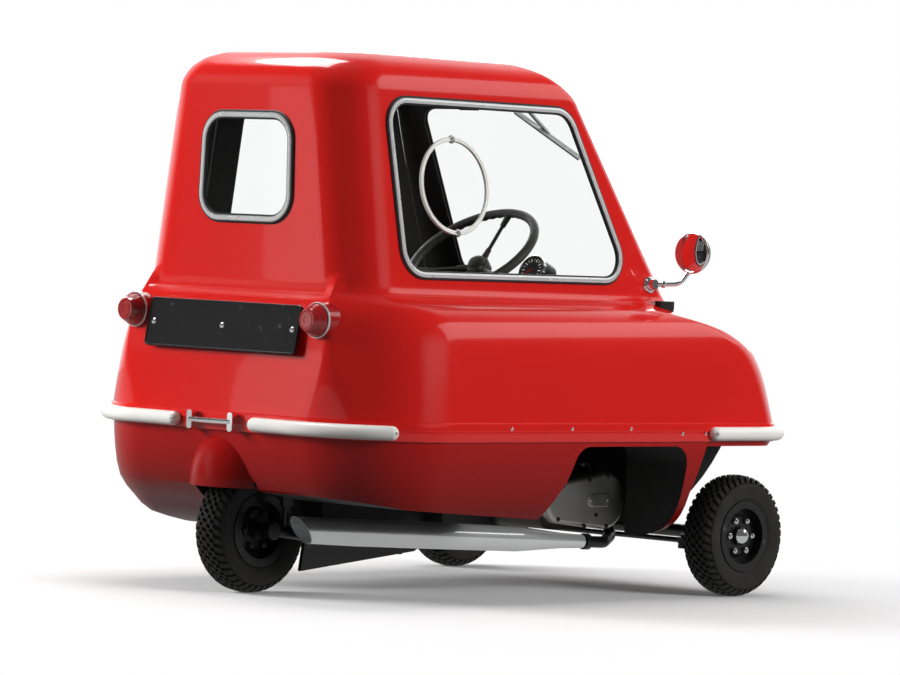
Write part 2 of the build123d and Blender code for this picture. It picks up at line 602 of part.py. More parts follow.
# Engine in its bay, with the alloy cover on its right
COVER_Y = -250.0
BLOCK_Y = (-222.0, BAY_INNER_Y)
engine = block((120, 300), BLOCK_Y, (140, 262))
engine = fillet(engine.edges().filter_by(Axis.Y), 30)
cylinder = Pos(250, -150, 262) * Cylinder(38, 66, align=(Align.CENTER, Align.CENTER, Align.MIN))
for i in range(6):
    cylinder += Pos(250, -150, 268 + 11 * i) * Cylinder(50, 4, align=(Align.CENTER, Align.CENTER, Align.MIN))
engine += cylinder
cover_outline = make_hull((Pos(310, 203) * Circle(64)).edges() + (Pos(160, 200) * Circle(46)).edges())
cover = extrude(Plane.XZ.offset(-BLOCK_Y[0]) * cover_outline, BLOCK_Y[0] - COVER_Y)
cover = fillet(cover.edges().group_by(Axis.Y)[0], 10)
parts["engine_block"] = engine
parts["engine_cover"] = cover

# Exhaust: bent pipe from the engine, then a tapered silencer
PIPE_R = 13.0
SILENCER_FRONT = Vector(232, -250, 114)
SILENCER_REAR = Vector(-500, -160, 142)
pipe_dir = (SILENCER_FRONT - SILENCER_REAR).normalized()
PIPE_ROUTE = [(360, -222, 124), (362, -180, 205), (345, -150, 290), (300.1, -150, 290)]
PIPE_BORE_R = PIPE_R - 2.5
pipe = tube_path([SILENCER_FRONT, SILENCER_FRONT + pipe_dir * 64.5, *PIPE_ROUTE], 24, PIPE_R, PIPE_BORE_R)
clamp = rod(SILENCER_FRONT + pipe_dir * 4, SILENCER_FRONT + pipe_dir * 18, 18)
clamp -= rod(SILENCER_FRONT, SILENCER_FRONT + pipe_dir * 30, PIPE_BORE_R + 1)
pipe += clamp
sil_plane = Plane(SILENCER_FRONT, x_dir=(0, 1, 0), z_dir=pipe_dir * -1)
SILENCER = [(0, 15), (60, 17), (190, 28), (640, 30), (810, 29)]
TAIL_BORE_R, TAIL_DEPTH, TAIL_SLASH = 26.5, 110.0, 36.0
silencer_half = Polyline(*[(r, z) for z, r in SILENCER], (0, SILENCER[-1][0]), (0, 0), close=True)
silencer = revolve(Plane.XZ * make_face(silencer_half), Axis.Z)
tail = SILENCER[-1][0]
silencer -= Pos(0, 0, tail - TAIL_DEPTH / 2) * Cylinder(TAIL_BORE_R, TAIL_DEPTH + 0.2)
silencer -= Pos(0, -30, tail) * Rot(-TAIL_SLASH, 0, 0) * Pos(0, 0, 60) * Box(200, 300, 120)
silencer = sil_plane * silencer
parts["exhaust_pipe"] = pipe
parts["silencer"] = silencer

# Rear suspension: trailing arm with the axle, guard plate and damper
ARM_Y = 62.0
ARM_PIVOT = (-185.0, 94.0)
arm_frame = rod((ARM_PIVOT[0], -96, ARM_PIVOT[1]), (ARM_PIVOT[0], 96, ARM_PIVOT[1]), 13)
for side in (-1, 1):
    arm_frame += rod((ARM_PIVOT[0], side * ARM_Y, ARM_PIVOT[1]), (REAR_AXLE_X, side * ARM_Y, TYRE_R), 12)
    arm_frame += rod((REAR_AXLE_X, side * (ARM_Y - 14), TYRE_R), (REAR_AXLE_X, side * (ARM_Y + 14), TYRE_R), 19)
arm_frame += rod((REAR_AXLE_X, -ARM_Y, TYRE_R), (REAR_AXLE_X, ARM_Y, TYRE_R), AXLE_R)
arm_frame += block((ARM_PIVOT[0] - 16, ARM_PIVOT[0] + 16), (-40, 40), (ARM_PIVOT[1], TUB_SECTIONS[0][0] - 0.02))
GUARD = [(-496, 52), (-484, 132), (-210, 106), (-138, 94), (-150, 88)]
arm_frame += side_prism(GUARD, (-104, -95))
parts["trailing_arm"] = arm_frame
DAMPER_X, DAMPER_Y = -520.0, -78.0
damper = rod((DAMPER_X, DAMPER_Y, 150), (DAMPER_X, DAMPER_Y, TUNNEL_TOP_Z), 8)
damper += rod((DAMPER_X, DAMPER_Y, 190), (DAMPER_X, DAMPER_Y, 275), 14)
parts["rear_damper"] = damper

# Front suspension: axle beam with kingpins, struts, stub axles, steering arms and tie rod
BEAM_R = 15.0
KINGPIN_R = 11.0
EAR_Y = 333.0
KINGPIN_Z = (86.0, 186.0)
SLEEVE_Z = (102.0, 170.0)
SLEEVE_R = 19.0
EAR_T = 14.0
ARM_LENGTH = 100.0
ARM_Z = (104.0, 114.0)
PIN_R = 6.0
TIE_Z = 122.0
beam = rod((FRONT_AXLE_X, -EAR_Y, TYRE_R), (FRONT_AXLE_X, EAR_Y, TYRE_R), BEAM_R)
for side in (-1, 1):
    y = side * KINGPIN_Y
    inner = sorted((side * EAR_Y, side * (EAR_Y - 12)))
    beam += block((FRONT_AXLE_X - 18, FRONT_AXLE_X + 18), inner, KINGPIN_Z)
    for low in (KINGPIN_Z[0], KINGPIN_Z[1] - EAR_T):
        span = sorted((side * (EAR_Y - 12), y))
        beam += block((FRONT_AXLE_X - 18, FRONT_AXLE_X + 18), span, (low, low + EAR_T))
        beam += Pos(FRONT_AXLE_X, y, low) * Cylinder(18, EAR_T, align=(Align.CENTER, Align.CENTER, Align.MIN))
    beam += rod((FRONT_AXLE_X, y, KINGPIN_Z[0]), (FRONT_AXLE_X, y, KINGPIN_Z[1]), KINGPIN_R)
for side in (-1, 1):
    strut = rod((FRONT_AXLE_X, side * 215, TYRE_R + BEAM_R - 3), (FRONT_AXLE_X, side * 215, 300), 10)
    strut += rod((FRONT_AXLE_X, side * 215, TYRE_R + BEAM_R + 16), (FRONT_AXLE_X, side * 215, 300), 19)
    beam += (strut - tub_solid).solids().sort_by(Axis.Z)[0]
parts["front_axle"] = beam

HUB_CENTRE_Y = FRONT_TRACK / 2
knuckles = {}
for name, side in (("left", 1), ("right", -1)):
    y = side * KINGPIN_Y
    sleeve = rod((FRONT_AXLE_X, y, SLEEVE_Z[0]), (FRONT_AXLE_X, y, SLEEVE_Z[1]), SLEEVE_R)
    stub = rod((FRONT_AXLE_X, y, TYRE_R), (FRONT_AXLE_X, side * (HUB_CENTRE_Y + 26), TYRE_R), AXLE_R)
    lever = block((FRONT_AXLE_X - ARM_LENGTH, FRONT_AXLE_X), (y - 8, y + 8), ARM_Z)
    lever += Pos(FRONT_AXLE_X - ARM_LENGTH, y, ARM_Z[0]) * Cylinder(
        11, ARM_Z[1] - ARM_Z[0], align=(Align.CENTER, Align.CENTER, Align.MIN)
    )
    pin = rod((FRONT_AXLE_X - ARM_LENGTH, y, ARM_Z[0]), (FRONT_AXLE_X - ARM_LENGTH, y, TIE_Z + 14), PIN_R)
    knuckle = sleeve + stub + lever + pin
    knuckle -= rod((FRONT_AXLE_X, y, 0), (FRONT_AXLE_X, y, 300), KINGPIN_R + RUNNING_CLEARANCE)
    parts[f"knuckle_{name}"] = knuckle
PIN_X = FRONT_AXLE_X - ARM_LENGTH
tie = rod((PIN_X, -KINGPIN_Y, TIE_Z), (PIN_X, KINGPIN_Y, TIE_Z), 6)
for side in (-1, 1):
    tie += rod((PIN_X, side * KINGPIN_Y, TIE_Z - 7), (PIN_X, side * KINGPIN_Y, TIE_Z + 7), 12)
    tie -= rod((PIN_X, side * KINGPIN_Y, 0), (PIN_X, side * KINGPIN_Y, 300), PIN_R + RUNNING_CLEARANCE)
parts["tie_rod"] = tie

# Wheels, outer face towards +Y before they are placed
half = TYRE_WIDTH / 2
rim_half = RIM_WIDTH / 2
tyre_points = [(RIM_SEAT_R + SEAT_GAP, rim_half - SEAT_GAP), (RIM_FLANGE_R + 1, rim_half - SEAT_GAP), (96, half - 2),
               (108, half), (121, half - 2), (131, half - 10), (TYRE_R, half - 25)]
tyre_points += [(r, -y) for r, y in reversed(tyre_points)]
tyre_face = make_face(Polyline(*tyre_points, close=True))
tyre_solid = revolve(tyre_face, Axis.Y)
rim_points = [
    (RIM_FLANGE_R, rim_half + RIM_SHEET), (RIM_FLANGE_R, rim_half), (RIM_SEAT_R, rim_half),
    (RIM_SEAT_R, -rim_half), (RIM_FLANGE_R, -rim_half), (RIM_FLANGE_R, -rim_half - RIM_SHEET),
    (RIM_SEAT_R - RIM_SHEET, -rim_half - RIM_SHEET), (RIM_SEAT_R - RIM_SHEET, 8), (48, 8), (40, 14),
    (HUB_R, 14), (HUB_R, -30), (AXLE_R + RUNNING_CLEARANCE, -30), (AXLE_R + RUNNING_CLEARANCE, 27.5),
    (HUB_R, 27.5), (HUB_R, 18), (42, 18), (50, 12), (RIM_SEAT_R - RIM_SHEET, 12),
    (RIM_SEAT_R - RIM_SHEET, rim_half + RIM_SHEET),
]
rim_solid = revolve(make_face(Polyline(*rim_points, close=True)), Axis.Y)
WHEEL_BOLTS, BOLT_CIRCLE_R = 6, 38.0
for i in range(WHEEL_BOLTS):
    a = 2 * math.pi * i / WHEEL_BOLTS
    x, z = BOLT_CIRCLE_R * math.cos(a), BOLT_CIRCLE_R * math.sin(a)
    rim_solid += rod((x, 15, z), (x, 23, z), 5.5)
cap_solid = Pos(0, 19, 0) * Sphere(22) & block((-30, 30), (27.5, 60), (-30, 30))
WHEELS = {
    "front_left": (FRONT_AXLE_X, HUB_CENTRE_Y, 1),
    "front_right": (FRONT_AXLE_X, -HUB_CENTRE_Y, -1),
    "rear": (REAR_AXLE_X, 0.0, -1),
}
for name, (x, y, side) in WHEELS.items():
    place = Pos(x, y, TYRE_R) * Rot(0, 0, 0 if side > 0 else 180)
    parts[f"tyre_{name}"] = place * tyre_solid
    parts[f"rim_{name}"] = place * rim_solid
    if name != "rear":
        parts[f"hub_cap_{name}"] = place * cap_solid

# Door furniture: handle, and hinges at the rear edge
HINGE_X, HINGE_Y = -431.0, 482.0
HINGE_Z = [430.0, 545.0]
HINGE_PIN_R = 5.0
HINGE_BARREL_R = 9.0
posts = []
leaves = []
for z in HINGE_Z:
    pin = rod((HINGE_X, HINGE_Y, z - 16), (HINGE_X, HINGE_Y, z + 30), HINGE_PIN_R)
    post = pin + rod((HINGE_X, HINGE_Y, z - 16), (HINGE_X, HINGE_Y, z), HINGE_BARREL_R)
    post += block((HINGE_X - 40, HINGE_X), (400, HINGE_Y), (z - 14, z - 2))
    posts.append(seated(post).solids().sort_by(Axis.Y)[-1])
    leaf = rod((HINGE_X, HINGE_Y, z + 1), (HINGE_X, HINGE_Y, z + 28), HINGE_BARREL_R)
    leaf += block((HINGE_X, HINGE_X + 50), (380, HINGE_Y + 4), (z + 4, z + 24))
    leaf -= rod((HINGE_X, HINGE_Y, z - 40), (HINGE_X, HINGE_Y, z + 60), HINGE_PIN_R + RUNNING_CLEARANCE)
    leaves.append(seated(leaf).solids().sort_by(Axis.Y)[-1])
parts["hinge_posts"] = Compound(posts)
parts["door_hinges"] = Compound(leaves)
LEFT_WALL = Plane((0, CABIN_HALF_SILL, SILL_Z), x_dir=(-1, 0, 0),
                  z_dir=(0, math.cos(math.radians(SIDE_LEAN)), math.sin(math.radians(SIDE_LEAN))))
handle_plane = LEFT_WALL * Pos(-270, 76)
door_handle = handle_plane * Cylinder(13, 26, align=(Align.CENTER, Align.CENTER, Align.MIN))
door_handle += handle_plane * Pos(28, 0, 26) * fillet(Box(86, 16, 10).edges(), 4)
parts["door_handle"] = door_handle


if __name__ == "__main__":
    for name, shape in parts.items():
        export_step(shape, f"parts/{name}.step")
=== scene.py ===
# %% [markdown]
# # A small three wheeled car
# The imported model is loaded first and never changed. Every new piece is worked out in the same frame: +X
# is forward, +Y is the car's left, +Z is up, and the ground is at zero. Sizes are in millimetres and
# become metres where a mesh is made.

# %% Load the frame
import json

import bmesh
import bpy
import numpy as np
from mathutils import Matrix


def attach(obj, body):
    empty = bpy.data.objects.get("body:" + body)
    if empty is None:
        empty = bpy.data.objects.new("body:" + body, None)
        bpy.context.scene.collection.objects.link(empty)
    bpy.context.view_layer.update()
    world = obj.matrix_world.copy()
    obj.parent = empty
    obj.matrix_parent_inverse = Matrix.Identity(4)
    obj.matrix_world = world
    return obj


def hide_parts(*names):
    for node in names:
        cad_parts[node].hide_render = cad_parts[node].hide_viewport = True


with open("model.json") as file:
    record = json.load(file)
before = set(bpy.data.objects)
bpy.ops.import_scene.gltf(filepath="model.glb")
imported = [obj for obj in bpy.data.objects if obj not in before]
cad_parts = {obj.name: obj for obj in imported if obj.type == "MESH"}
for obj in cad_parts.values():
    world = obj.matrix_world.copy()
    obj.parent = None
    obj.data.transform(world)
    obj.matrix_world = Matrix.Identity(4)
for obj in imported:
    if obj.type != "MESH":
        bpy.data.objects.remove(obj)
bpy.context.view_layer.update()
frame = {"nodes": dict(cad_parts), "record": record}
nodes = frame["nodes"]
MM = 0.001
print("loaded", len(nodes), "nodes")

# %% [markdown]
# ## Camera
# The car is seen from behind and from its right, with a long lens and a slight roll. The camera is an
# object with a matrix: its columns are right, up and backwards. Right and up are turned by the roll about
# the line of sight.

# %% Camera
YAW, PITCH, ROLL = np.radians((43.6, -1.32, 2.42))
DISTANCE, SHIFT_RIGHT, LOOK_HEIGHT = 10.88655, 0.03058, 0.55347
FOCAL_PIXELS, IMAGE_WIDTH, SENSOR_WIDTH = 4909.63, 900.0, 36.0
sight = np.array([np.cos(YAW) * np.cos(PITCH), np.sin(YAW) * np.cos(PITCH), np.sin(PITCH)])
level_right = np.array([np.sin(YAW), -np.cos(YAW), 0.0])
level_up = np.cross(level_right, sight)
image_right = np.cos(ROLL) * level_right + np.sin(ROLL) * level_up
image_up = -np.sin(ROLL) * level_right + np.cos(ROLL) * level_up
eye = np.array([0, 0, LOOK_HEIGHT]) + level_right * SHIFT_RIGHT - sight * DISTANCE
camera_data = bpy.data.cameras.new("studio_camera")
camera_data.sensor_width = SENSOR_WIDTH
camera_data.lens = FOCAL_PIXELS * SENSOR_WIDTH / IMAGE_WIDTH
camera = bpy.data.objects.new("studio_camera", camera_data)
camera_matrix = np.eye(4)
camera_matrix[:3] = np.column_stack([image_right, image_up, -sight, eye])
camera.matrix_world = Matrix(camera_matrix.tolist())
bpy.context.scene.collection.objects.link(camera)
bpy.context.scene.camera = camera
print("camera at", np.round(eye, 3))

# %% [markdown]
# ## Shader arithmetic
# A finish is a small net of nodes. `Field` wraps one socket, so that sums and products of masks can be
# written as plain expressions, and `Finish.node` adds any other node: its settings first, then its
# sockets.

# %% Field and Finish


class Field:
    """One output socket. Arithmetic with numbers or other fields adds Math nodes."""

    def __init__(self, finish, socket):
        self.finish, self.socket = finish, socket

    def math(self, operation, *others):
        return self.finish.node("Math", {"operation": operation}, dict(enumerate((self, *others))))

    def __add__(self, other):
        return self.math("ADD", other)

    def __mul__(self, other):
        return self.math("MULTIPLY", other)

    def __sub__(self, other):
        return self.math("SUBTRACT", other)

    def __rsub__(self, other):
        return (self * -1.0) + other

    __radd__ = __add__
    __rmul__ = __mul__

    def clamp(self):
        return self.math("MINIMUM", 1.0).math("MAXIMUM", 0.0)


class Finish:
    """A material under construction."""

    def __init__(self, name, owner=None):
        self.owner = owner or bpy.data.materials.new(name)
        self.owner.use_nodes = True
        self.tree = self.owner.node_tree
        self.tree.nodes.clear()

    def node(self, kind, settings=None, sockets=None, out=0):
        """Adds a node of this kind, sets it up, joins its sockets, and returns one output."""
        made = self.tree.nodes.new("ShaderNode" + kind)
        for key, value in (settings or {}).items():
            setattr(made, key, value)
        for key, value in (sockets or {}).items():
            if isinstance(value, Field):
                self.tree.links.new(value.socket, made.inputs[key])
            else:
                made.inputs[key].default_value = value
        return Field(self, made.outputs[out]) if len(made.outputs) else None

    def place(self, scale=1.0):
        """Object coordinates, stretched by a number or by three."""
        size = scale if isinstance(scale, tuple) else (scale,) * 3
        spot = self.node("TexCoord", out="Object")
        return self.node("Mapping", None, {"Vector": spot, "Scale": size})

    def noise(self, scale, detail=3.0, stretch=1.0):
        sockets = {"Vector": self.place(stretch), "Scale": scale, "Detail": detail}
        return self.node("TexNoise", None, sockets)

    def cells(self, scale, feature="F1"):
        return self.node("TexVoronoi", {"feature": feature}, {"Vector": self.place(), "Scale": scale})

    def height(self):
        """Height above the ground in metres."""
        return self.node("SeparateXYZ", None, {0: self.node("TexCoord", out="Object")}, out="Z")

    def ramp(self, value, low, high):
        """Value moved from low..high to 0..1 and held there."""
        return ((value - low) * (1.0 / (high - low))).clamp()

    def mix(self, factor, first, second):
        """Colour between two colours."""
        return self.node("Mix", {"data_type": "RGBA"}, {"Factor": factor, 6: first, 7: second}, out=2)

    def bump(self, height, strength, distance):
        return self.node("Bump", None, {"Height": height, "Strength": strength, "Distance": distance})

    def surface(self, colour, rough, normal, **fixed):
        """Closes the net with a Principled shader; fixed values go straight on its sockets."""
        sockets = {"Base Color": colour, "Roughness": rough, "Normal": normal}
        sockets.update({key.replace("_", " "): value for key, value in fixed.items()})
        shader = self.node("BsdfPrincipled", None, sockets)
        self.node("OutputMaterial", None, {"Surface": shader})
        return self.owner


def rgba(r, g, b):
    return (r, g, b, 1.0)


print("shader kit ready")

# %% [markdown]
# ## Paint, rubber and metal
# The red is colour moulded through glass fibre and polished: deep and even, with a hard clear gloss, a
# faint ripple from the mat below and a little road dust low down. The tub below the belt is the same red,
# with painted shade that darkens it towards the bottom, where it also grows duller. Bright metal differs
# mostly in roughness: clean chrome, brushed steel, sand cast alloy. Rubber is nearly black and dull, with
# grey dust in the open parts.

# %% Body finishes
red = Finish("red_gelcoat")
cloud = red.noise(3.0)
dust = red.ramp(red.height() + red.noise(9.0) * 0.10, 0.30, 0.12)
tone = red.mix(cloud, rgba(0.67, 0.0085, 0.0055), rgba(0.75, 0.0105, 0.007))
tone = red.mix(dust * 0.35, tone, rgba(0.16, 0.035, 0.028))
ripple = red.bump(red.noise(14.0, 1.0) + red.noise(420.0, 1.0) * 0.03, 0.10, 0.004)
RED = red.surface(tone, red.noise(30.0) * 0.06 + dust * 0.25 + 0.16, ripple,
                  Coat_Weight=0.6, Coat_Roughness=0.03, Specular_IOR_Level=0.32)

low_red = Finish("red_underbody")
# Painted shade: the tub's red darkens towards the ground, and the same mask makes the lower part rougher
painted_low_shade = low_red.ramp(low_red.height() + low_red.noise(5.0, 4.0) * 0.06, 0.40, 0.17)
low_tone = low_red.mix(painted_low_shade, rgba(0.44, 0.006, 0.0045), rgba(0.13, 0.004, 0.0035))
LOW_RED = low_red.surface(low_tone, low_red.noise(30.0) * 0.06 + painted_low_shade * 0.18 + 0.18,
                          low_red.bump(low_red.noise(14.0, 1.0), 0.10, 0.004),
                          Coat_Weight=0.12, Coat_Roughness=0.05, Specular_IOR_Level=0.16)

inside = Finish("dark_lining")
fibre = inside.noise(160.0, 6.0, (1.0, 1.0, 0.25))
INSIDE = inside.surface(inside.mix(fibre, rgba(0.006, 0.006, 0.006), rgba(0.022, 0.021, 0.020)),
                        inside.noise(25.0) * 0.2 + 0.62, inside.bump(fibre, 0.35, 0.002))

cream = Finish("cream_plastic")
age = cream.noise(8.0)
CREAM = cream.surface(cream.mix(age, rgba(0.90, 0.89, 0.84), rgba(0.94, 0.935, 0.90)),
                      cream.noise(60.0) * 0.12 + 0.28, cream.bump(cream.noise(90.0), 0.06, 0.002),
                      Coat_Weight=0.2)


def metal(name, dark, light, rough, spread, grain, strength, stretch=1.0, part=1.0):
    """A metal whose colour and roughness drift between two values, with a fine surface grain; a dull film
    takes the rest where the metal is only part of the shine."""
    finish = Finish(name)
    smear = finish.noise(11.0, 4.0)
    surface_grain = finish.noise(grain, 4.0, stretch)
    return finish.surface(finish.mix(smear, rgba(*dark), rgba(*light)), smear * spread + rough,
                          finish.bump(surface_grain, strength, 0.001), Metallic=part)


CHROME = metal("bright_chrome", (0.82, 0.83, 0.84), (0.92, 0.92, 0.92), 0.05, 0.10, 300.0, 0.02)
STEEL = metal("brushed_steel", (0.62, 0.63, 0.64), (0.80, 0.81, 0.81), 0.26, 0.16, 420.0, 0.12,
              stretch=(0.1, 1.0, 1.0))
ALLOY = metal("cast_alloy", (0.40, 0.395, 0.38), (0.62, 0.615, 0.59), 0.38, 0.22, 520.0, 0.35)
IRON = metal("dark_iron", (0.035, 0.034, 0.033), (0.10, 0.095, 0.09), 0.42, 0.25, 380.0, 0.40)
EXHAUST = metal("exhaust_chrome", (0.84, 0.85, 0.86), (0.93, 0.93, 0.93), 0.12, 0.10, 300.0, 0.03, part=0.7)
SATIN = metal("satin_trim", (0.66, 0.665, 0.67), (0.84, 0.84, 0.835), 0.22, 0.12, 300.0, 0.04, part=0.55)
MIRROR = metal("mirror_silver", (0.86, 0.87, 0.88), (0.90, 0.90, 0.91), 0.015, 0.02, 200.0, 0.0)

black = Finish("black_enamel")
chips = black.ramp(black.noise(55.0, 6.0), 0.66, 0.72)
BLACK = black.surface(black.mix(chips, rgba(0.008, 0.008, 0.009), rgba(0.06, 0.055, 0.05)),
                      black.noise(40.0) * 0.22 + 0.24, black.bump(black.noise(240.0), 0.10, 0.001))

rubber = Finish("seal_rubber")
bloom = rubber.noise(35.0, 5.0)
SEAL = rubber.surface(rubber.mix(bloom, rgba(0.009, 0.009, 0.010), rgba(0.030, 0.030, 0.031)),
                      bloom * 0.2 + 0.45, rubber.bump(rubber.noise(500.0), 0.10, 0.0006))

tread = Finish("tyre_rubber")
grit = tread.noise(70.0, 6.0)
patch = tread.noise(12.0)
TYRE = tread.surface(tread.mix(patch * grit * 1.4, rgba(0.0065, 0.0065, 0.007), rgba(0.046, 0.043, 0.039)),
                     grit * 0.15 + 0.68, tread.bump(tread.noise(650.0, 4.0), 0.35, 0.0008))

vinyl = Finish("black_vinyl")
grain = vinyl.cells(420.0)
VINYL = vinyl.surface(vinyl.mix(vinyl.noise(7.0), rgba(0.011, 0.010, 0.010), rgba(0.030, 0.028, 0.027)),
                      vinyl.noise(20.0) * 0.15 + 0.42, vinyl.bump(grain, 0.45, 0.0012))

grey = Finish("grey_plastic")
GREY = grey.surface(grey.mix(grey.noise(18.0), rgba(0.045, 0.043, 0.040), rgba(0.075, 0.072, 0.066)),
                    grey.noise(60.0) * 0.15 + 0.34, grey.bump(grey.noise(300.0), 0.08, 0.001))

lens = Finish("red_lens")
facets = lens.cells(260.0, "DISTANCE_TO_EDGE")
LENS = lens.surface(lens.mix(lens.noise(20.0), rgba(0.30, 0.004, 0.006), rgba(0.44, 0.008, 0.010)),
                    lens.noise(60.0) * 0.05 + 0.08, lens.bump(facets, 0.20, 0.001), Coat_Weight=0.6)

clear = Finish("headlamp_glass")
flutes = clear.node("TexWave", None, {"Vector": clear.place((0.0, 1.0, 0.0)), "Scale": 22.0}, out=1)
CLEAR = clear.surface(clear.mix(flutes, rgba(0.62, 0.64, 0.66), rgba(0.84, 0.85, 0.86)),
                      flutes * 0.08 + 0.05, clear.bump(flutes, 0.5, 0.003), Metallic=0.55, Coat_Weight=0.8)
print("finishes made:", len(bpy.data.materials))

# %% [markdown]
# ## Window glass
# A pane is 4 mm of clear glass: what matters is that light goes straight through and that the surface
# still mirrors more at a grazing view. A transparent shader and a glossy one are mixed by the Fresnel
# term, with faint dust.

# %% Glass
pane = Finish("window_glass")
outer_face = 1.0 - pane.node("NewGeometry", out="Backfacing")
fresnel = pane.node("Fresnel", None, {"IOR": 1.45}) * outer_face
film = pane.ramp(pane.noise(6.0, 5.0), 0.45, 0.9)
through = pane.node("BsdfTransparent", None, {"Color": rgba(0.99, 0.996, 0.994)})
mirror_look = {"Base Color": rgba(0.5, 0.5, 0.5), "Roughness": 0.02, "Metallic": 1.0}
shine = pane.node("BsdfPrincipled", None, mirror_look)
blended = pane.node("MixShader", None, {0: (fresnel * 0.45 + film * 0.006).clamp(), 1: through, 2: shine})
pane.node("OutputMaterial", None, {"Surface": blended})
GLASS = pane.owner

SLOT_FINISH = {
    "red_shell": RED, "glass": GLASS, "seal_rubber": SEAL, "chrome": CHROME, "cream": CREAM,
    "red_lens": LENS, "black_paint": BLACK, "tyre": TYRE, "vinyl": VINYL, "grey_plastic": GREY,
    "alloy": ALLOY, "iron": IRON, "steel": STEEL, "mirror": MIRROR,
}
OWN_FINISH = {
    "headlamp_lens": CLEAR, "fascia_shelf": INSIDE, "inside_mirror": BLACK, "tail_lamp_bases": LENS,
    "rear_damper": BLACK, "wiper": SATIN, "instrument": BLACK, "silencer": EXHAUST,
}


def dress(obj, finish):
    """Puts one finish on every slot of an object."""
    for slot in obj.material_slots:
        slot.material = finish
    if not obj.material_slots:
        obj.data.materials.append(finish)


for part in frame["record"]["subparts"]:
    dress(nodes[part["node"]], OWN_FINISH.get(part["node"], SLOT_FINISH[part["material_slot"]]))

# %% [markdown]
# ## Surfaces from arrays
# Almost every new piece is a grid of points: rows one way, columns the other. Once the points are known,
# the faces follow from counting, so a few helpers serve all of them: one makes the mesh, one turns a
# profile about an axis, one carries a profile along a path, and one rounds the corners of an outline.

# %% Mesh helpers


def grid_faces(rows, cols, wrap_rows=False, wrap_cols=False):
    """Quads of a grid: each point joins the next in its row and column; a wrapped side joins its start."""
    row = np.arange(rows if wrap_rows else rows - 1)[:, None]
    col = np.arange(cols if wrap_cols else cols - 1)[None, :]
    next_row, next_col = (row + 1) % rows, (col + 1) % cols
    quads = [row * cols + col, row * cols + next_col, next_row * cols + next_col, next_row * cols + col]
    return np.stack(quads, -1).reshape(-1, 4)


def new_mesh(name, points, faces, outward=True):
    """Mesh from points and faces, with doubles merged and, on a closed shape, normals turned outwards."""
    mesh = bpy.data.meshes.new(name)
    mesh.from_pydata(np.asarray(points).reshape(-1, 3), [], [tuple(face) for face in faces])
    work = bmesh.new()
    work.from_mesh(mesh)
    bmesh.ops.remove_doubles(work, verts=work.verts, dist=1e-6)
    bmesh.ops.dissolve_degenerate(work, edges=work.edges, dist=1e-7)
    if outward:
        bmesh.ops.recalc_face_normals(work, faces=work.faces)
    work.to_mesh(mesh)
    work.free()
    return mesh


def smooth(mesh, angle):
    """Smooth shading, broken where faces meet at more than the angle."""
    mesh.polygons.foreach_set("use_smooth", np.ones(len(mesh.polygons), bool))
    mesh.set_sharp_from_angle(angle=np.radians(angle))


def linked(name, mesh):
    """A new object at the origin, in the scene."""
    obj = bpy.data.objects.new(name, mesh)
    bpy.context.scene.collection.objects.link(obj)
    return obj


def adopt(obj, finish, body, stands_for=(), angle=32.0):
    """Smooths, dresses and mounts a finished object."""
    smooth(obj.data, angle)
    if not obj.data.materials:
        obj.data.materials.append(finish)
    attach(obj, body)
    if stands_for:
        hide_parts(*stands_for)
    return obj


def piece(name, points, faces, finish, body, slot, stands_for=(), outward=True, angle=32.0):
    """An object from points in metres and faces, dressed, riding on a body."""
    obj = linked(name, new_mesh(name, points, faces, outward))
    return adopt(obj, finish, body, stands_for, angle)


def unit(vector):
    vector = np.asarray(vector, float)
    return vector / np.linalg.norm(vector)


def across(axis):
    """Two unit vectors square to an axis, and the axis."""
    w = unit(axis)
    u = unit(np.cross((0, 0, 1) if abs(w[2]) < 0.9 else (1, 0, 0), w))
    return np.stack([u, np.cross(w, u), w])


def angles(steps):
    """A full turn in even steps, without its end."""
    return np.linspace(0, 2 * np.pi, steps, endpoint=False)


def turned(profile, centre, axis, steps):
    """Turns a profile of radius and height about an axis: point = centre + r (cos a u + sin a v) + h w."""
    profile = np.asarray(profile, float)
    u, v, w = across(axis)
    turn = angles(steps)[:, None]
    ring = np.cos(turn) * u + np.sin(turn) * v
    points = profile[:, :1, None] * ring + profile[:, 1:, None] * w + np.asarray(centre, float)
    return points.reshape(-1, 3), grid_faces(len(profile), steps, wrap_cols=True)


def gathered(shapes):
    """Several lists of points and faces as one; a face may have any number of corners."""
    starts = np.cumsum([0] + [len(points) for points, _ in shapes])
    faces = [tuple(int(corner) + int(start) for corner in face)
             for (_, some), start in zip(shapes, starts) for face in some]
    return np.concatenate([points for points, _ in shapes]), faces


def turned_piece(name, profile, places, steps, finish, body, slot, stands_for=(), angle=32.0):
    """One profile, in millimetres, turned at each centre and axis in a list: all one piece."""
    points, faces = gathered([turned(profile, centre, axis, steps) for centre, axis in places])
    return piece(name, points * MM, faces, finish, body, slot, stands_for, angle=angle)


def hoop_section(radius, middle, wide, high, steps):
    """Closed oval section of a ring, as radius and height."""
    turn = angles(steps)
    section = np.column_stack([radius + wide * np.cos(turn), middle + high * np.sin(turn)])
    return np.vstack([section, section[:1]])


def rounded(points, radii, steps=10):
    """Closed outline: at each corner an arc touches both sides, centred where both are a radius away."""
    points = np.asarray(points, float)
    t = np.linspace(0, 1, steps)
    arcs = []
    for corner, before, after, radius in zip(points, np.roll(points, 1, 0), np.roll(points, -1, 0), radii):
        back, ahead = unit(before - corner), unit(after - corner)
        half = np.arccos(np.clip(back @ ahead, -1, 1)) / 2
        middle = corner + unit(back + ahead) * radius / np.sin(half)
        start = corner + back * radius / np.tan(half) - middle
        end = corner + ahead * radius / np.tan(half) - middle
        turn = np.pi - 2 * half
        weights = np.stack([np.sin((1 - t) * turn), np.sin(t * turn)], -1) / np.sin(turn)
        arcs.append(middle + weights @ np.stack([start, end]))
    return np.concatenate(arcs)


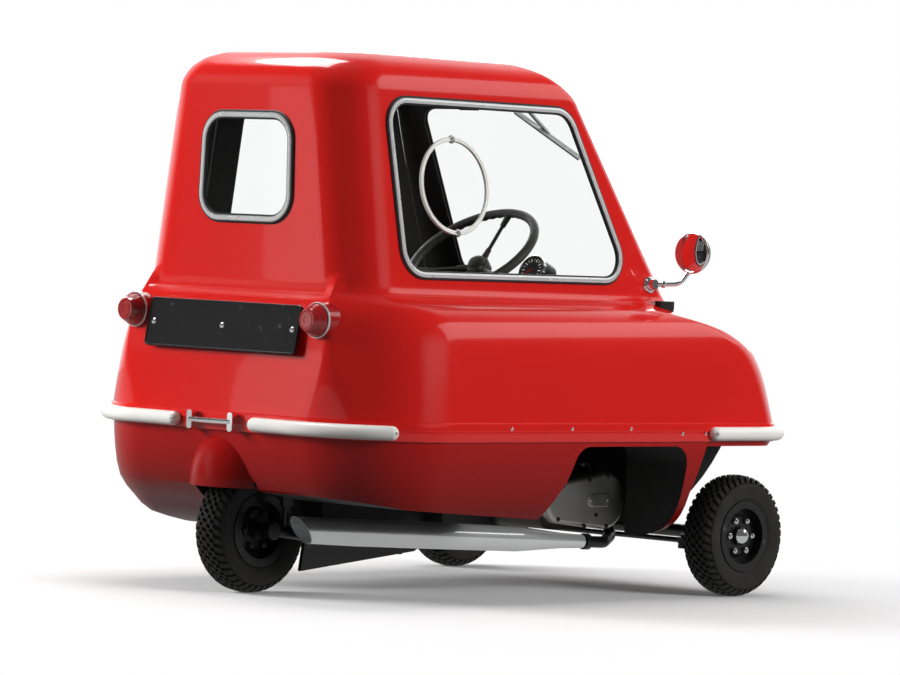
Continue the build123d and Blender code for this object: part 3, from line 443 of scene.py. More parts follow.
def evenly(loop, count):
    """The same closed outline with its points spread evenly by length."""
    closed = np.vstack([loop, loop[:1]])
    run = np.concatenate([[0], np.cumsum(np.linalg.norm(np.diff(closed, axis=0), axis=1))])
    spots = np.linspace(0, run[-1], count, endpoint=False)
    return np.stack([np.interp(spots, run, closed[:, k]) for k in range(closed.shape[1])], -1)


def square_out(loop):
    """At each point of a flat closed outline, the unit vector square to it and outwards."""
    run = np.roll(loop, -1, 0) - np.roll(loop, 1, 0)
    return np.stack([run[:, 1], -run[:, 0]], -1) / np.linalg.norm(run, axis=1, keepdims=True)


def tube(path, radius, steps):
    """Round bar along a path: rings square to the run, turned as little as possible between them."""
    path = np.asarray(path, float)
    run = np.gradient(path, axis=0)
    run /= np.linalg.norm(run, axis=1, keepdims=True)
    side = across(run[0])[0]
    sides = []
    for ahead in run:
        side = unit(side - ahead * (side @ ahead))
        sides.append(side)
    sides = np.asarray(sides)
    others = np.cross(run, sides)
    turn = angles(steps)[:, None]
    radius = np.broadcast_to(radius, len(path))[:, None, None]
    rings = path[:, None] + radius * (np.cos(turn) * sides[:, None] + np.sin(turn) * others[:, None])
    points = np.concatenate([path[:1], rings.reshape(-1, 3), path[-1:]])
    ends = np.arange(steps)
    after = (ends + 1) % steps
    last = len(points) - 1
    first_cap = np.stack([np.zeros(steps, int), 1 + ends, 1 + after], -1)
    last_cap = np.stack([np.full(steps, last), last - steps + after, last - steps + ends], -1)
    return points, [*(grid_faces(len(path), steps, wrap_cols=True) + 1), *first_cap, *last_cap]


def settled(obj):
    """Replaces an object's mesh by what its modifiers make of it."""
    bpy.context.view_layer.update()
    graph = bpy.context.evaluated_depsgraph_get()
    mesh = bpy.data.meshes.new_from_object(obj.evaluated_get(graph))
    obj.modifiers.clear()
    obj.data = mesh
    return obj


print("mesh helpers ready")

# %% [markdown]
# ## Body skin
# The body is one glass fibre moulding: a fat shoulder that runs round into the nose, a soft inward
# crease, flat cabin walls that lean in, and a domed roof. A level slice through it is a rectangle with
# rounded corners, and the two rear corners are cut off slantwise, with their own radius at each end of
# the cut. The skin is a stack of such slices. A handful of measured ones is enough: those between follow
# a monotone cubic, which never bulges past them, and the flat walls stay flat because each has two slices
# at either end. Where the flat rear panel ends, its edge runs on up the cabin's corner as a small crest.

# %% Skin sections
SILL_Z, ROOF_EDGE_Z, HEIGHT = 600.0, 1085.0, 1168.0
# The walls at the sill and at the roof edge: rear, front, half width, rear and front corner radius
WALL_SILL = np.array([-603.0, 428.0, 353.0, 110.0, 50.0])
WALL_ROOF = np.array([-603.0, 145.0, 283.0, 110.0, 50.0])
GROWTH = np.array([-1.0, 1.0, 1.0, 1.0, 1.0])
WALL_THICK = 6.0


def rounded_row(z, rear, front, half, r_rear, r_front):
    """A slice with plain rear corners: the cut's ends share one radius, and each turns half a right angle."""
    step, radius = r_rear * (1 - np.tan(np.pi / 8)), 0.96 * r_rear
    return np.array([z, rear, front, half, half - step, rear + step, radius, radius, r_front])


def wall_row(z, grow=0.0):
    """The flat walls' slice at a height: a straight mix of the slice at the sill and at the roof edge."""
    t = (z - SILL_Z) / (ROOF_EDGE_Z - SILL_Z)
    return rounded_row(z, *(WALL_SILL + t * (WALL_ROOF - WALL_SILL) + grow * GROWTH))


# Height, rear, front, half width, half width of the rear flat, place of the cut's front end, radius at the
# flat, radius at the cut's front end, front corner radius
SKIN_KEYS = np.array([
    (389, -660, 660, 469, 333, -524, 226, 226, 75),
    (490, -653, 644, 459, 315, -522, 80, 230, 98),
    (547, -646, 622, 450, 306, -515, 34, 236, 114),
    (600, -637, 556, 430, 300, -506, 16, 220, 138),
    (630, -628, 458, 398, 290, -514, 16, 160, 150),
    (643, -617, 421, 366, 286, -532, 40, 130, 92),
    (651, -608, 404, 351, 284, -541, 90, 114, 60),
    wall_row(664, 1.0),
    wall_row(676),
    wall_row(684),
    wall_row(700),
    wall_row(1070),
    wall_row(ROOF_EDGE_Z),
    rounded_row(HEIGHT - 48, -594, 110, 271, 116, 56),
    rounded_row(HEIGHT - 23, -570, 66, 250, 112, 62),
    rounded_row(HEIGHT - 8, -530, 8, 218, 104, 66),
    rounded_row(HEIGHT - 1, -460, -80, 160, 90, 66),
    rounded_row(HEIGHT, -360, -190, 80, 60, 56),
])
STEPS_BETWEEN = np.array([6, 5, 5, 6, 5, 4, 4, 3, 2, 3, 10, 3, 6, 6, 6, 6, 4])


def monotone(keys, steps):
    """Rows between key rows: a cubic in the run length, with slopes by weighted harmonic means."""
    keys = np.asarray(keys, float)
    run = np.concatenate([[0], np.cumsum(np.linalg.norm(np.diff(keys[:, :4], axis=0), axis=1))])
    gap = np.diff(run)[:, None]
    rise = np.diff(keys, axis=0) / gap
    w1, w2 = 2 * gap[1:] + gap[:-1], gap[1:] + 2 * gap[:-1]
    with np.errstate(divide="ignore", invalid="ignore"):
        mean = (w1 + w2) / (w1 / rise[:-1] + w2 / rise[1:])
    slope = np.vstack([rise[:1], np.where(rise[:-1] * rise[1:] > 0, mean, 0.0), rise[-1:]])
    key = np.append(np.repeat(np.arange(len(steps)), steps), len(steps) - 1)
    u = np.append(np.concatenate([np.arange(n) / n for n in steps]), 1.0)[:, None]
    low, high = slope[key] * gap[key], slope[key + 1] * gap[key]
    return ((2 * u**3 - 3 * u**2 + 1) * keys[key] + (u**3 - 2 * u**2 + u) * low
            + (3 * u**2 - 2 * u**3) * keys[key + 1] + (u**3 - u**2) * high)


def slices(rows, side=26, end=18, arc=20):
    """Points round each slice: straight sides and arcs with their own counts; the right mirrors the left."""
    columns = np.asarray(rows, float).T[:, :, None]
    z, rear, front, half, flat, cut, r_flat, r_cut, r_front = columns
    slant = np.arctan2(half - flat, cut - rear)
    turn = np.pi / 2 - slant
    flat_end, cut_end = flat - r_flat * np.tan(turn / 2), cut + r_cut * np.tan(slant / 2)
    along_end = np.linspace(0, 1, end // 2, endpoint=False)
    along_side = np.linspace(0, 1, side, endpoint=False)
    quarter = np.linspace(0, np.pi / 2, arc, endpoint=False)
    t = np.linspace(0, 1, arc // 2 + 1)
    fx, fy = front - r_front, half - r_front
    near, far = np.pi / 2 - slant * t, turn * (1 - t)
    x = [front + 0 * along_end, fx + r_front * np.cos(quarter), fx + (cut_end - fx) * along_side,
         cut_end - r_cut * np.cos(near), rear + r_flat - r_flat * np.cos(far), rear + 0 * along_end]
    y = [fy * along_end, fy + r_front * np.sin(quarter), half + 0 * along_side,
         half - r_cut + r_cut * np.sin(near), flat_end + r_flat * np.sin(far), flat_end * (1 - along_end)]
    x, y = np.concatenate(x, 1), np.concatenate(y, 1)
    x = np.concatenate([x, rear, x[:, :0:-1]], 1)
    y = np.concatenate([y, 0 * rear, -y[:, :0:-1]], 1)
    return np.stack([x, y, np.broadcast_to(z, x.shape)], -1)


CREST_FOOT, CREST_TIP = np.array([-630.0, 287.0, 628.0]), np.array([-592.0, 277.0, 693.0])
CREST_WIDTH = 23.0


def crested(rings):
    """Draws each slice out to a straight crest line at both rear corners, by a tent along the slice."""
    for ring in rings:
        t = (ring[0, 2] - CREST_FOOT[2]) / (CREST_TIP[2] - CREST_FOOT[2])
        if 0 < t < 1:
            for side in (-1, 1):
                crest = (CREST_FOOT + t * (CREST_TIP - CREST_FOOT)) * (1, side, 1)
                nearest = ring[np.argmin(np.linalg.norm(ring - crest, axis=1))].copy()
                away = np.linalg.norm(ring - nearest, axis=1)
                tent = np.clip(1 - away / CREST_WIDTH, 0, 1) * (ring[:, 1] * side > 0)
                ring += (crest - nearest) * tent[:, None]
    return rings


def skin_shape():
    """Stacked slices from the belt to the roof, closed by a small cap at the crown."""
    rings = crested(slices(monotone(SKIN_KEYS, STEPS_BETWEEN), arc=28)) * MM
    rows, cols = rings.shape[:2]
    crown_cap = range((rows - 1) * cols, rows * cols)
    return rings.reshape(-1, 3), [*grid_faces(rows, cols, wrap_cols=True), crown_cap]


skin_points, skin_faces = skin_shape()
print("skin:", len(skin_points), "points")

# %% [markdown]
# ## Openings in the skin
# The windows and the doorway are sawn out of the moulding, so they are cut here too: an outline on the
# wall is drawn out into a prism both ways, and a Boolean takes it away. The door panel is the piece that
# falls out, so it is the same skin, kept only inside the door's prism.

# %% Window outlines
SILL_REAR, SILL_FRONT, SILL_HALF = WALL_SILL[:3]
LEAN = np.arctan2(SILL_HALF - WALL_ROOF[2], ROOF_EDGE_Z - SILL_Z)
RAKE = np.arctan2(SILL_FRONT - WALL_ROOF[1], ROOF_EDGE_Z - SILL_Z)


class Wall:
    """A flat wall: an origin, a direction across it, one up it and one out of it, in millimetres."""

    def __init__(self, origin, right, out, mirror=(1.0, 1.0, 1.0)):
        self.origin, self.mirror = np.asarray(origin, float), np.asarray(mirror, float)
        self.right, self.out = np.asarray(right, float), np.asarray(out, float)
        self.up = np.cross(self.out, self.right)

    def at(self, loop, lift=0.0):
        """Points of a flat outline on the wall, lifted off it and mirrored, in metres."""
        loop = np.asarray(loop, float)
        points = self.origin + loop[:, :1] * self.right + loop[:, 1:2] * self.up + lift * self.out
        return points * MM * self.mirror


SIDE = (0, -SILL_HALF, SILL_Z), (1, 0, 0), (0, -np.cos(LEAN), np.sin(LEAN))
RIGHT_WALL = Wall(*SIDE)
DOOR_WALL = Wall(*SIDE, mirror=(1, -1, 1))
SCREEN_WALL = Wall((SILL_FRONT, 0, SILL_Z), (0, 1, 0), (np.cos(RAKE), 0, np.sin(RAKE)))
REAR_WALL = Wall((SILL_REAR, 0, SILL_Z), (0, -1, 0), (-1, 0, 0))
WINDOWS = {
    "side": (RIGHT_WALL, [(-455, 97), (252, 97), (84, 465), (-480, 465)], [58, 52, 58, 52]),
    "door": (DOOR_WALL, [(-345, 97), (252, 97), (84, 465), (-345, 465)], [58, 52, 58, 52]),
    "windscreen": (SCREEN_WALL, [(-285, 92), (285, 92), (226, 545), (-226, 545)], [50] * 4),
    "rear": (REAR_WALL, [(-134, 200), (134, 200), (128, 418), (-128, 418)], [52] * 4),
}
DOOR_OUTLINE = [(-420, 400), (305, 400), (305, 690), (120, 1078), (-420, 1078)]
DOOR_GAP, DOOR_CORNER, DOOR_REACH = 5.0, 45.0, (150.0, 600.0)


def prism(near, far):
    """Closed prism between two like outlines."""
    count = len(near)
    i = np.arange(count)
    after = (i + 1) % count
    sides = np.stack([i, after, count + after, count + i], -1)
    return np.concatenate([near, far]), [*sides, i[::-1], count + i]


def window_prism(name, reach=60.0):
    wall, points, radii = WINDOWS[name]
    loop = rounded(points, radii)
    return prism(wall.at(loop, -reach), wall.at(loop, reach))


def door_prism(grow):
    """The door's outline, moved out square to itself, carried across the left wall."""
    loop = rounded(DOOR_OUTLINE, [DOOR_CORNER] * len(DOOR_OUTLINE))
    loop = loop + square_out(loop) * grow
    return prism(*(np.insert(loop, 1, y, axis=1) * MM for y in DOOR_REACH))


def sawn(obj, shapes, operation):
    """Cuts an object with prisms and keeps the result."""
    saw = linked("cutter", new_mesh("cutter", *gathered(shapes)))
    modifier = obj.modifiers.new("saw", "BOOLEAN")
    modifier.operation, modifier.object, modifier.solver = operation, saw, "EXACT"
    settled(obj)
    bpy.data.objects.remove(saw)


def skin_object(name):
    """The whole skin with its wall thickness; the inner side takes the second finish."""
    obj = linked(name, new_mesh(name, skin_points, skin_faces))
    for finish in (RED, INSIDE):
        obj.data.materials.append(finish)
    wall = obj.modifiers.new("wall", "SOLIDIFY")
    wall.thickness, wall.offset, wall.material_offset = WALL_THICK * MM, -1.0, 1
    return settled(obj)


# %% [markdown]
# ## Dark linings
# Inside, the moulding is bare dark fibre, and so are its sawn edges. Which faces these are follows from
# where they lie: a slice is a box with rounded corners, and the distance of a face's middle from that
# box's outline says how deep inside it lies.

# %% Body shell and door panel
EDGE_DEPTH, EDGE_LOW, EDGE_HIGH, SQUARE = 0.8, 690.0, 1075.0, 0.98
WALL_ROWS = np.array([(SILL_Z, *WALL_SILL), (ROOF_EDGE_Z, *WALL_ROOF)])


def depth_inside(points, rows):
    """How far points lie inside the slice at their own height: a box's distance with rounded corners."""
    z = points[:, 2]
    rear, front, half, r_rear, r_front = (np.interp(z, rows[:, 0], column) for column in rows[:, 1:].T)
    x = points[:, 0] - (rear + front) / 2
    radius = np.where(x < 0, r_rear, r_front)
    past_x, past_y = np.abs(x) - (front - rear) / 2 + radius, np.abs(points[:, 1]) - half + radius
    corner = np.hypot(np.maximum(past_x, 0), np.maximum(past_y, 0))
    return radius - corner - np.minimum(np.maximum(past_x, past_y), 0)


def face_vectors(mesh, kind):
    """Centres or normals of all faces."""
    flat = np.empty(len(mesh.polygons) * 3)
    mesh.polygons.foreach_get(kind, flat)
    return flat.reshape(-1, 3)


def dark_edges(obj):
    """Gives the lining to sawn edges: those of the flat walls lie inside the outer face, and the door's long
    rear edge lies at one place and faces along the car."""
    centres, normals = face_vectors(obj.data, "center") / MM, face_vectors(obj.data, "normal")
    on_walls = (centres[:, 2] > EDGE_LOW) & (centres[:, 2] < EDGE_HIGH)
    cut = on_walls & (depth_inside(centres, WALL_ROWS) > EDGE_DEPTH)
    cut |= (np.abs(centres[:, 0] - DOOR_OUTLINE[0][0]) < DOOR_GAP + 1.0) & (np.abs(normals[:, 0]) > SQUARE)
    index = np.empty(len(cut), np.int32)
    obj.data.polygons.foreach_get("material_index", index)
    obj.data.polygons.foreach_set("material_index", np.where(cut, 1, index).astype(np.int32))


body_shell = skin_object("body_shell")
body_windows = [window_prism(name) for name in ("side", "windscreen", "rear")]
sawn(body_shell, [door_prism(DOOR_GAP)] + body_windows, "DIFFERENCE")
dark_edges(body_shell)
adopt(body_shell, RED, "body", ["upper_shell"])
door_skin = skin_object("door_skin")
sawn(door_skin, [door_prism(0.0)], "INTERSECT")
sawn(door_skin, [window_prism("door")], "DIFFERENCE")
dark_edges(door_skin)
adopt(door_skin, RED, "door", ["door_panel"])
print("shell faces:", len(body_shell.data.polygons), "door faces:", len(door_skin.data.polygons))

# %% [markdown]
# ## Belt band and lower tub
# Upper and lower mouldings meet in a flat band, riveted through, with a fine joint line along its middle.
# The band is one small profile carried round the same kind of slice as the skin. The tub keeps the shape
# of the plain model: a merged copy gets smooth shading, so that its ruled facets read as one moulded
# sheet, and the dark lining inside; its faces that look straight down get the same dark finish as painted
# shade.

# %% Band and tub
BELT = np.array([-664.0, 664.0, 473.0, 235.0, 79.0])
BELT_REAR, BELT_FRONT, BELT_HALF, BELT_CORNER = BELT[:4]
BAND_PROFILE = [(-10, 389), (-2.5, 389), (-0.7, 388.3), (0, 386.5), (0, 370.5), (-1.6, 369), (-1.6, 367),
                (0, 365.5), (0, 350.5), (-0.7, 348.7), (-2.5, 348), (-10, 348)]
# Height, rear, front, half width, rear corner radius, front corner radius
TUB_ROWS = np.array([
    (131, -462, 366, 345, 75, 70), (150, -522, 400, 396, 88, 80), (185, -574, 455, 428, 140, 90),
    (228, -628, 545, 446, 188, 86), (290, -648, 612, 459, 212, 80), (348, -657, 657, 466, 228, 74),
])
TUB_DEPTH, LEVEL, TUB_ANGLE = 8.0, -0.97, 24.0


def band_shape(profile):
    """Profile of outward step and height, carried round the belt slice."""
    rings = slices([rounded_row(z, *(BELT + step * GROWTH)) for step, z in profile]) * MM
    return rings.reshape(-1, 3), grid_faces(*rings.shape[:2], wrap_rows=True, wrap_cols=True)


def merged_copy(node):
    """A plain node's mesh with its doubles merged and without its finish and its own normals."""
    mesh = nodes[node].data.copy()
    mesh.materials.clear()
    work = bmesh.new()
    work.from_mesh(mesh)
    bmesh.ops.remove_doubles(work, verts=work.verts, dist=1e-5)
    work.to_mesh(mesh)
    work.free()
    if mesh.has_custom_normals:
        mesh.attributes.remove(mesh.attributes["custom_normal"])
    return mesh


def lined(obj, rows):
    """Gives the faces inside a stack of slices the dark lining, and the level underside the same dark finish
    as painted shade.
    """
    centres, normals = face_vectors(obj.data, "center") / MM, face_vectors(obj.data, "normal")
    # Painted shade: faces that look straight down are darkened with the lining's finish
    hidden = (depth_inside(centres, rows) > TUB_DEPTH) | (normals[:, 2] < LEVEL)
    obj.data.materials.append(INSIDE)
    obj.data.polygons.foreach_set("material_index", hidden.astype(np.int32))
    return hidden.sum()


piece("belt_band", *band_shape(BAND_PROFILE), RED, "body", "red_shell")
tub = linked("tub_shell", merged_copy("lower_tub"))
adopt(tub, LOW_RED, "body", ["lower_tub"], TUB_ANGLE)
print("tub faces:", len(tub.data.polygons), "dark:", lined(tub, TUB_ROWS))

# %% [markdown]
# ## Window seals
# Each pane sits in a black rubber section with a bright filler strip pressed into its groove. Both are
# profiles carried round the window's outline: outwards along the wall, and up off it.

# %% Seals and filler strips
SEAL_PROFILE = [(11.5, 0.2), (11.8, 1.8), (10.2, 4.2), (7.5, 5.4), (4.6, 5.2), (4.0, 3.6), (-1.6, 3.6),
                (-2.2, 5.0), (-5.0, 4.8), (-7.6, 3.2), (-8.4, 0.8), (-8.2, 0.1), (-4.6, -0.1), (-4.6, -5.5),
                (-0.6, -5.5), (-0.6, 0.2)]
STRIP_PROFILE = [(7.0, 3.6), (6.6, 5.3), (4.4, 6.6), (1.2, 7.0), (-2.0, 6.6), (-4.2, 5.3), (-4.6, 3.4)]
SEAL_STEPS = 220


def edging(wall, points, radii, profile, steps):
    """Profile of step and lift carried round an outline: point = outline + step * outward + lift * wall."""
    loop = evenly(rounded(points, radii), steps)
    rows = np.stack([wall.at(loop + square_out(loop) * step, lift) for step, lift in profile])
    return rows.reshape(-1, 3), grid_faces(len(profile), steps, wrap_rows=True, wrap_cols=True)


for window, outline in WINDOWS.items():
    body = "door" if window == "door" else "body"
    rubber_shape = edging(*outline, SEAL_PROFILE, SEAL_STEPS)
    piece(window + "_rubber", *rubber_shape, SEAL, body, "seal_rubber", [window + "_seal"])
    piece(window + "_strip", *edging(*outline, STRIP_PROFILE, SEAL_STEPS), SATIN, body, "chrome")
print("seals:", len(WINDOWS))

# %% [markdown]
# ## Tyres
# Small trolley tyres with open blocks: three rows on each half of the crown and a row of shoulder blocks
# that run down the side, each row set half a pitch from the next. A block is a short box on the tyre's
# own section, so one block of numbers, copied by angle and by row, makes the whole tread.

# %% Tyre section and blocks
BEAD_R, BEAD_HALF = 66.3, 30.7
TYRE_SECTION = np.array([(BEAD_R, BEAD_HALF), (80, 31.5), (86, 37.0), (96, 39.4), (108, 41.0), (116, 40.4),
                         (123, 38.0), (129, 33.0), (132.6, 26.5), (134.6, 19.0), (135.8, 9.0), (136, 0)])
# Start and end of each row of blocks along the section from the crown, and its offset in pitches
BLOCK_ROWS = [(0.5, 6.0, 0.0), (7.5, 14.5, 0.5), (16.0, 23.5, 0.0), (25.0, 45.0, 0.5)]
GROOVE, BLOCKS, TREAD_END = 7.0, 42, 45.0
BLOCK_TOP, BLOCK_FOOT, BLOCK_SPREAD, BLOCK_SLANT = 0.29, 0.37, 1.5, 0.0035
RIB_RUNS, RIB_RISE, RIB_WIDTH = (58.0, 66.0), 0.7, 1.4
BLOCK_FACES = np.array([(0, 1, 3, 2), (2, 3, 5, 4), (6, 8, 9, 7), (8, 10, 11, 9), (0, 6, 7, 1),
                        (4, 5, 11, 10), (0, 2, 8, 6), (2, 4, 10, 8), (1, 7, 9, 3), (3, 9, 11, 5)])
WHEELS = {
    "front_left": ((536.0, 430.0, 136.0), 1.0),
    "front_right": ((536.0, -430.0, 136.0), -1.0),
    "rear": ((-550.0, 0.0, 136.0), -1.0),
}
crown = TYRE_SECTION[::-1]
crown_run = np.concatenate([[0], np.cumsum(np.linalg.norm(np.diff(crown, axis=0), axis=1))])


def section_at(run):
    """Radius and half width of the section at a run from the crown."""
    return np.stack([np.interp(run, crown_run, crown[:, k]) for k in (0, 1)], -1)


def on_section(run, depth):
    """Radius and half width at a run from the crown, sunk below the surface by a depth."""
    radius, half = section_at(run).T
    tangent = section_at(run + 0.5) - section_at(run - 0.5)
    tangent /= np.linalg.norm(tangent, axis=-1, keepdims=True)
    return radius - depth * tangent[:, 1], half + depth * tangent[:, 0]


def block_row(start, end, offset, side):
    """One ring of blocks: corners at three runs, two angles and two depths, slanted a little by the run."""
    run = np.array([start, (start + end) / 2, end])
    pitch = 2 * np.pi / BLOCKS
    centre = ((np.arange(BLOCKS) + offset) * pitch)[:, None, None]
    slant = (side * (run - start) * BLOCK_SLANT)[None, :, None]
    layers = []
    for depth, share in ((0.0, BLOCK_TOP), (GROOVE + 1.0, BLOCK_FOOT)):
        spread = (run - run.mean()) * (share - BLOCK_TOP) * BLOCK_SPREAD
        radius, half = (v[None, :, None] for v in on_section(run + spread, depth))
        angle = centre + slant + np.array([-1, 1]) * share * pitch
        width = np.broadcast_to(side * half, angle.shape)
        layers.append(np.stack([radius * np.sin(angle), width, radius * np.cos(angle)], -1))
    corners = np.stack(layers, 1)
    starts = np.arange(BLOCKS)[:, None, None] * 12
    return corners.reshape(-1, 3), (starts + BLOCK_FACES).reshape(-1, 4)


def tyre_shape():
    """Carcass turned from the section sunk at the tread, with rings of blocks on both halves."""
    run = np.concatenate([np.linspace(0, TREAD_END, 16), np.linspace(TREAD_END + 3, crown_run[-1], 14)])
    radius, half = on_section(run, GROOVE * np.clip((TREAD_END + 2 - run) / 6, 0, 1))
    ribs = sum(RIB_RISE * np.exp(-((run - at) / RIB_WIDTH) ** 2) for at in RIB_RUNS)
    outer = np.stack([radius, half + ribs], -1)
    beads = [(BEAD_R, -BEAD_HALF), (BEAD_R, BEAD_HALF)]
    profile = np.concatenate([outer[::-1], outer[1:] * (1, -1), beads])
    shapes = [turned(profile, (0, 0, 0), (0, 1, 0), 96)]
    shapes += [block_row(*row, side) for row in BLOCK_ROWS for side in (-1, 1)]
    return gathered(shapes)


tyre_points, tyre_faces = tyre_shape()
for name, (centre, _) in WHEELS.items():
    piece("block_tyre_" + name, (tyre_points + centre) * MM, tyre_faces, TYRE, "wheel_" + name, "tyre",
          ["tyre_" + name], angle=28.0)
print("tyre faces:", len(tyre_faces))

# %% [markdown]
# ## Wheel nuts, rivets and plate bolts
# Small fasteners catch the light: domed heads on the number plate, flat rivets along the band, and nuts
# on the wheels. All are turned profiles, drawn at a radius and a rise of one, scaled, and set in rows
# from short tables. The plate leans back, so its axes come from its tilt.

# %% Fasteners
DOME = np.array([(0.0, 1.0), (0.35, 0.94), (0.65, 0.75), (0.88, 0.45), (1.0, 0.1), (1.0, -0.2),
                 (0.0, -0.2)])
NUT = np.array([(0.0, 1.0), (0.45, 1.0), (0.5, 0.85), (0.5, 0.62), (0.85, 0.6), (1.0, 0.5), (1.0, -0.3),
                (0.0, -0.3)])
HEAD_STEPS, HEX = 14, 6
PLATE_TILT, PLATE_CENTRE, BOLT_SPACING = np.radians(10.6), np.array([-657.0, 0.0, 570.0]), 212.0
NUTS, NUT_CIRCLE, NUT_PLANE, NUT_SIZE = 6, 38.0, 23.0, 7.0
# Place along the car and height of the rivets on each side
RIVETS = [(-250, 377), (-60, 377), (130, 377), (302, 366), (380, 366)]


def facing(tilt):
    """Axes of what faces backwards and leans up by a tilt: the car's right, up its face, and out of it."""
    out, right = np.array([-np.cos(tilt), 0, np.sin(tilt)]), np.array([0.0, -1.0, 0.0])
    return np.stack([right, np.cross(out, right), out])


def placed(points, origin, axes):
    """Points in a piece's own axes moved into the car, in metres."""
    return (origin + np.asarray(points, float) @ axes) * MM


plate_right, _, plate_out = facing(PLATE_TILT)
plate_bolts = [(PLATE_CENTRE + plate_right * step, plate_out) for step in (-BOLT_SPACING, 0, BOLT_SPACING)]
turned_piece("plate_bolts", DOME * (7.0, 5.0), plate_bolts, HEAD_STEPS, CHROME, "body", "chrome")
band_rivets = [((x, side * BELT_HALF, z), (0, side, 0)) for side in (-1, 1) for x, z in RIVETS]
turned_piece("band_rivets", DOME * (4.0, 1.6), band_rivets, HEAD_STEPS, CHROME, "body", "chrome")
for name, (centre, side) in WHEELS.items():
    places = []
    for turn in angles(NUTS):
        spot = np.array([NUT_CIRCLE * np.cos(turn), side * NUT_PLANE, NUT_CIRCLE * np.sin(turn)])
        places.append((spot + centre, (0, side, 0)))
    finish, slot = (IRON, "iron") if name == "rear" else (CHROME, "chrome")
    turned_piece("wheel_nuts_" + name, NUT * NUT_SIZE, places, HEX, finish, "wheel_" + name, slot)
print("fasteners placed")

# %% [markdown]
# ## Bumper screws, plate edge and lamp lenses
# Each bumper bar is held by a screw sunk in its rounded end. The bar's end is a turned half round, so a
# point at a distance t past the end of the straight stands off the band by c + sqrt(R R - t t), and the
# screw leans by asin(t / R). The number plate is a blank pressed sheet with a rolled edge. The tail lamp
# lens is turned, with rings for the prisms.

# %% Screws, edge and lenses
BAR_R, BAR_C, BAR_Z, BAR_TURN, SCREW_T = 15.45, 6.55, 366.0, np.radians(53.5), 9.0
turn_out = np.array([-np.cos(BAR_TURN), -np.sin(BAR_TURN), 0.0])
turn_along = np.array([np.sin(BAR_TURN), -np.cos(BAR_TURN), 0.0])
corner_centre = np.array([BELT_REAR + BELT_CORNER, BELT_CORNER - BELT_HALF, BAR_Z])
# End of the straight, way out of the band, way along the bar past that end
BAR_ENDS = [
    ((BELT_REAR, -124, BAR_Z), (-1, 0, 0), (0, 1, 0)),
    (corner_centre + BELT_CORNER * turn_out, turn_out, turn_along),
    ((406, -BELT_HALF, BAR_Z), (0, -1, 0), (-1, 0, 0)),
    ((BELT_FRONT, -150, BAR_Z), (1, 0, 0), (0, 1, 0)),
]
screw_lean = np.arcsin(SCREW_T / BAR_R)
screw_places = []
for end, out, along in (np.asarray(row, float) for row in BAR_ENDS):
    spot = end + along * SCREW_T + out * (BAR_C + BAR_R * np.cos(screw_lean))
    axis = along * np.sin(screw_lean) + out * np.cos(screw_lean)
    screw_places += [(spot * mirror, axis * mirror) for mirror in ((1, 1, 1), (1, -1, 1))]
turned_piece("bumper_screws", DOME * (4.0, 1.5), screw_places, HEAD_STEPS, STEEL, "body", "steel")

PLATE_EDGE = [(-0.4, 0.0), (-0.4, 1.0), (-1.4, 1.9), (-2.8, 1.9), (-3.8, 1.0), (-4.2, 0.0)]
PLATE_OUTLINE = [(-231, -53), (231, -53), (231, 53), (-231, 53)]
plate_wall = Wall(PLATE_CENTRE, plate_right, plate_out)
plate_bead = edging(plate_wall, PLATE_OUTLINE, [10] * 4, PLATE_EDGE, 160)
piece("plate_edge", *plate_bead, BLACK, "body", "black_paint")

LENS_PROFILE = [(0, 30.4), (8, 30.4), (8.6, 31.4), (15.6, 31.4), (16.2, 30.2), (17.6, 30.2), (18.2, 31.0),
                (21.5, 30.6), (23.6, 29.0), (24.8, 26.5), (26.6, 22.0), (27.8, 21.2), (28.6, 17.0),
                (30.0, 16.2), (30.8, 11.8), (32.2, 11.0), (33.0, 6.4), (34.4, 5.6), (35.0, 0.4), (0, 0.4)]
LAMP_BEZEL = [(35.2, 0.0), (35.4, 1.8), (36.6, 2.6), (37.8, 1.8), (38.2, 0.0), (38.2, -1.5), (35.2, -1.5)]
tail_lamps = [((-652, side * 279, 593), (-1, 0, 0)) for side in (-1, 1)]
turned_piece("lamp_lenses", LENS_PROFILE, tail_lamps, 40, LENS, "body", "red_lens", ["tail_lamps"],
             angle=20.0)
turned_piece("lamp_bezels", LAMP_BEZEL, tail_lamps, 56, SATIN, "body", "chrome")
print("bumper screws:", len(screw_places))

# %% [markdown]
# ## Steering wheel
# A thin moulded rim with finger notches on its far side, on three steel rods with rubber sleeves, and a
# boss on the shaft. The rim is a ring whose grip radius r = g - n (1 + cos(48 a)) / 2 * max(0, cos(b -
# b0)) squared shrinks at the notches, with a the angle round the wheel and b the angle round the grip.

# %% Steering wheel
WHEEL_CENTRE, wheel_axes = np.array([62.0, -40.0, 742.0]), facing(np.radians(52.0))
RIM_R, GRIP_R, NOTCH, NOTCHES, NOTCH_SIDE = 150.0, 10.4, 2.0, 48, np.radians(225)
SPOKE_FOOT_R, SPOKE_FOOT_Z = 16.0, -34.0
# Share of the spoke's length and its radius there
SPOKE = np.array([(0, 7.4), (0.14, 7.0), (0.15, 6.4), (0.24, 6.2), (0.25, 4.2), (0.72, 4.2), (0.73, 6.4),
                  (0.80, 6.8), (0.88, 7.2), (0.97, 7.6)])
BOSS = [(0, -14), (9, -14.4), (15, -16.5), (19, -20.5), (21, -26), (25, -28), (26, -30), (26, -52),
        (24, -54), (10, -54), (10, -130), (0, -130)]
ORIGIN, OUT = (0, 0, 0), (0, 0, 1)


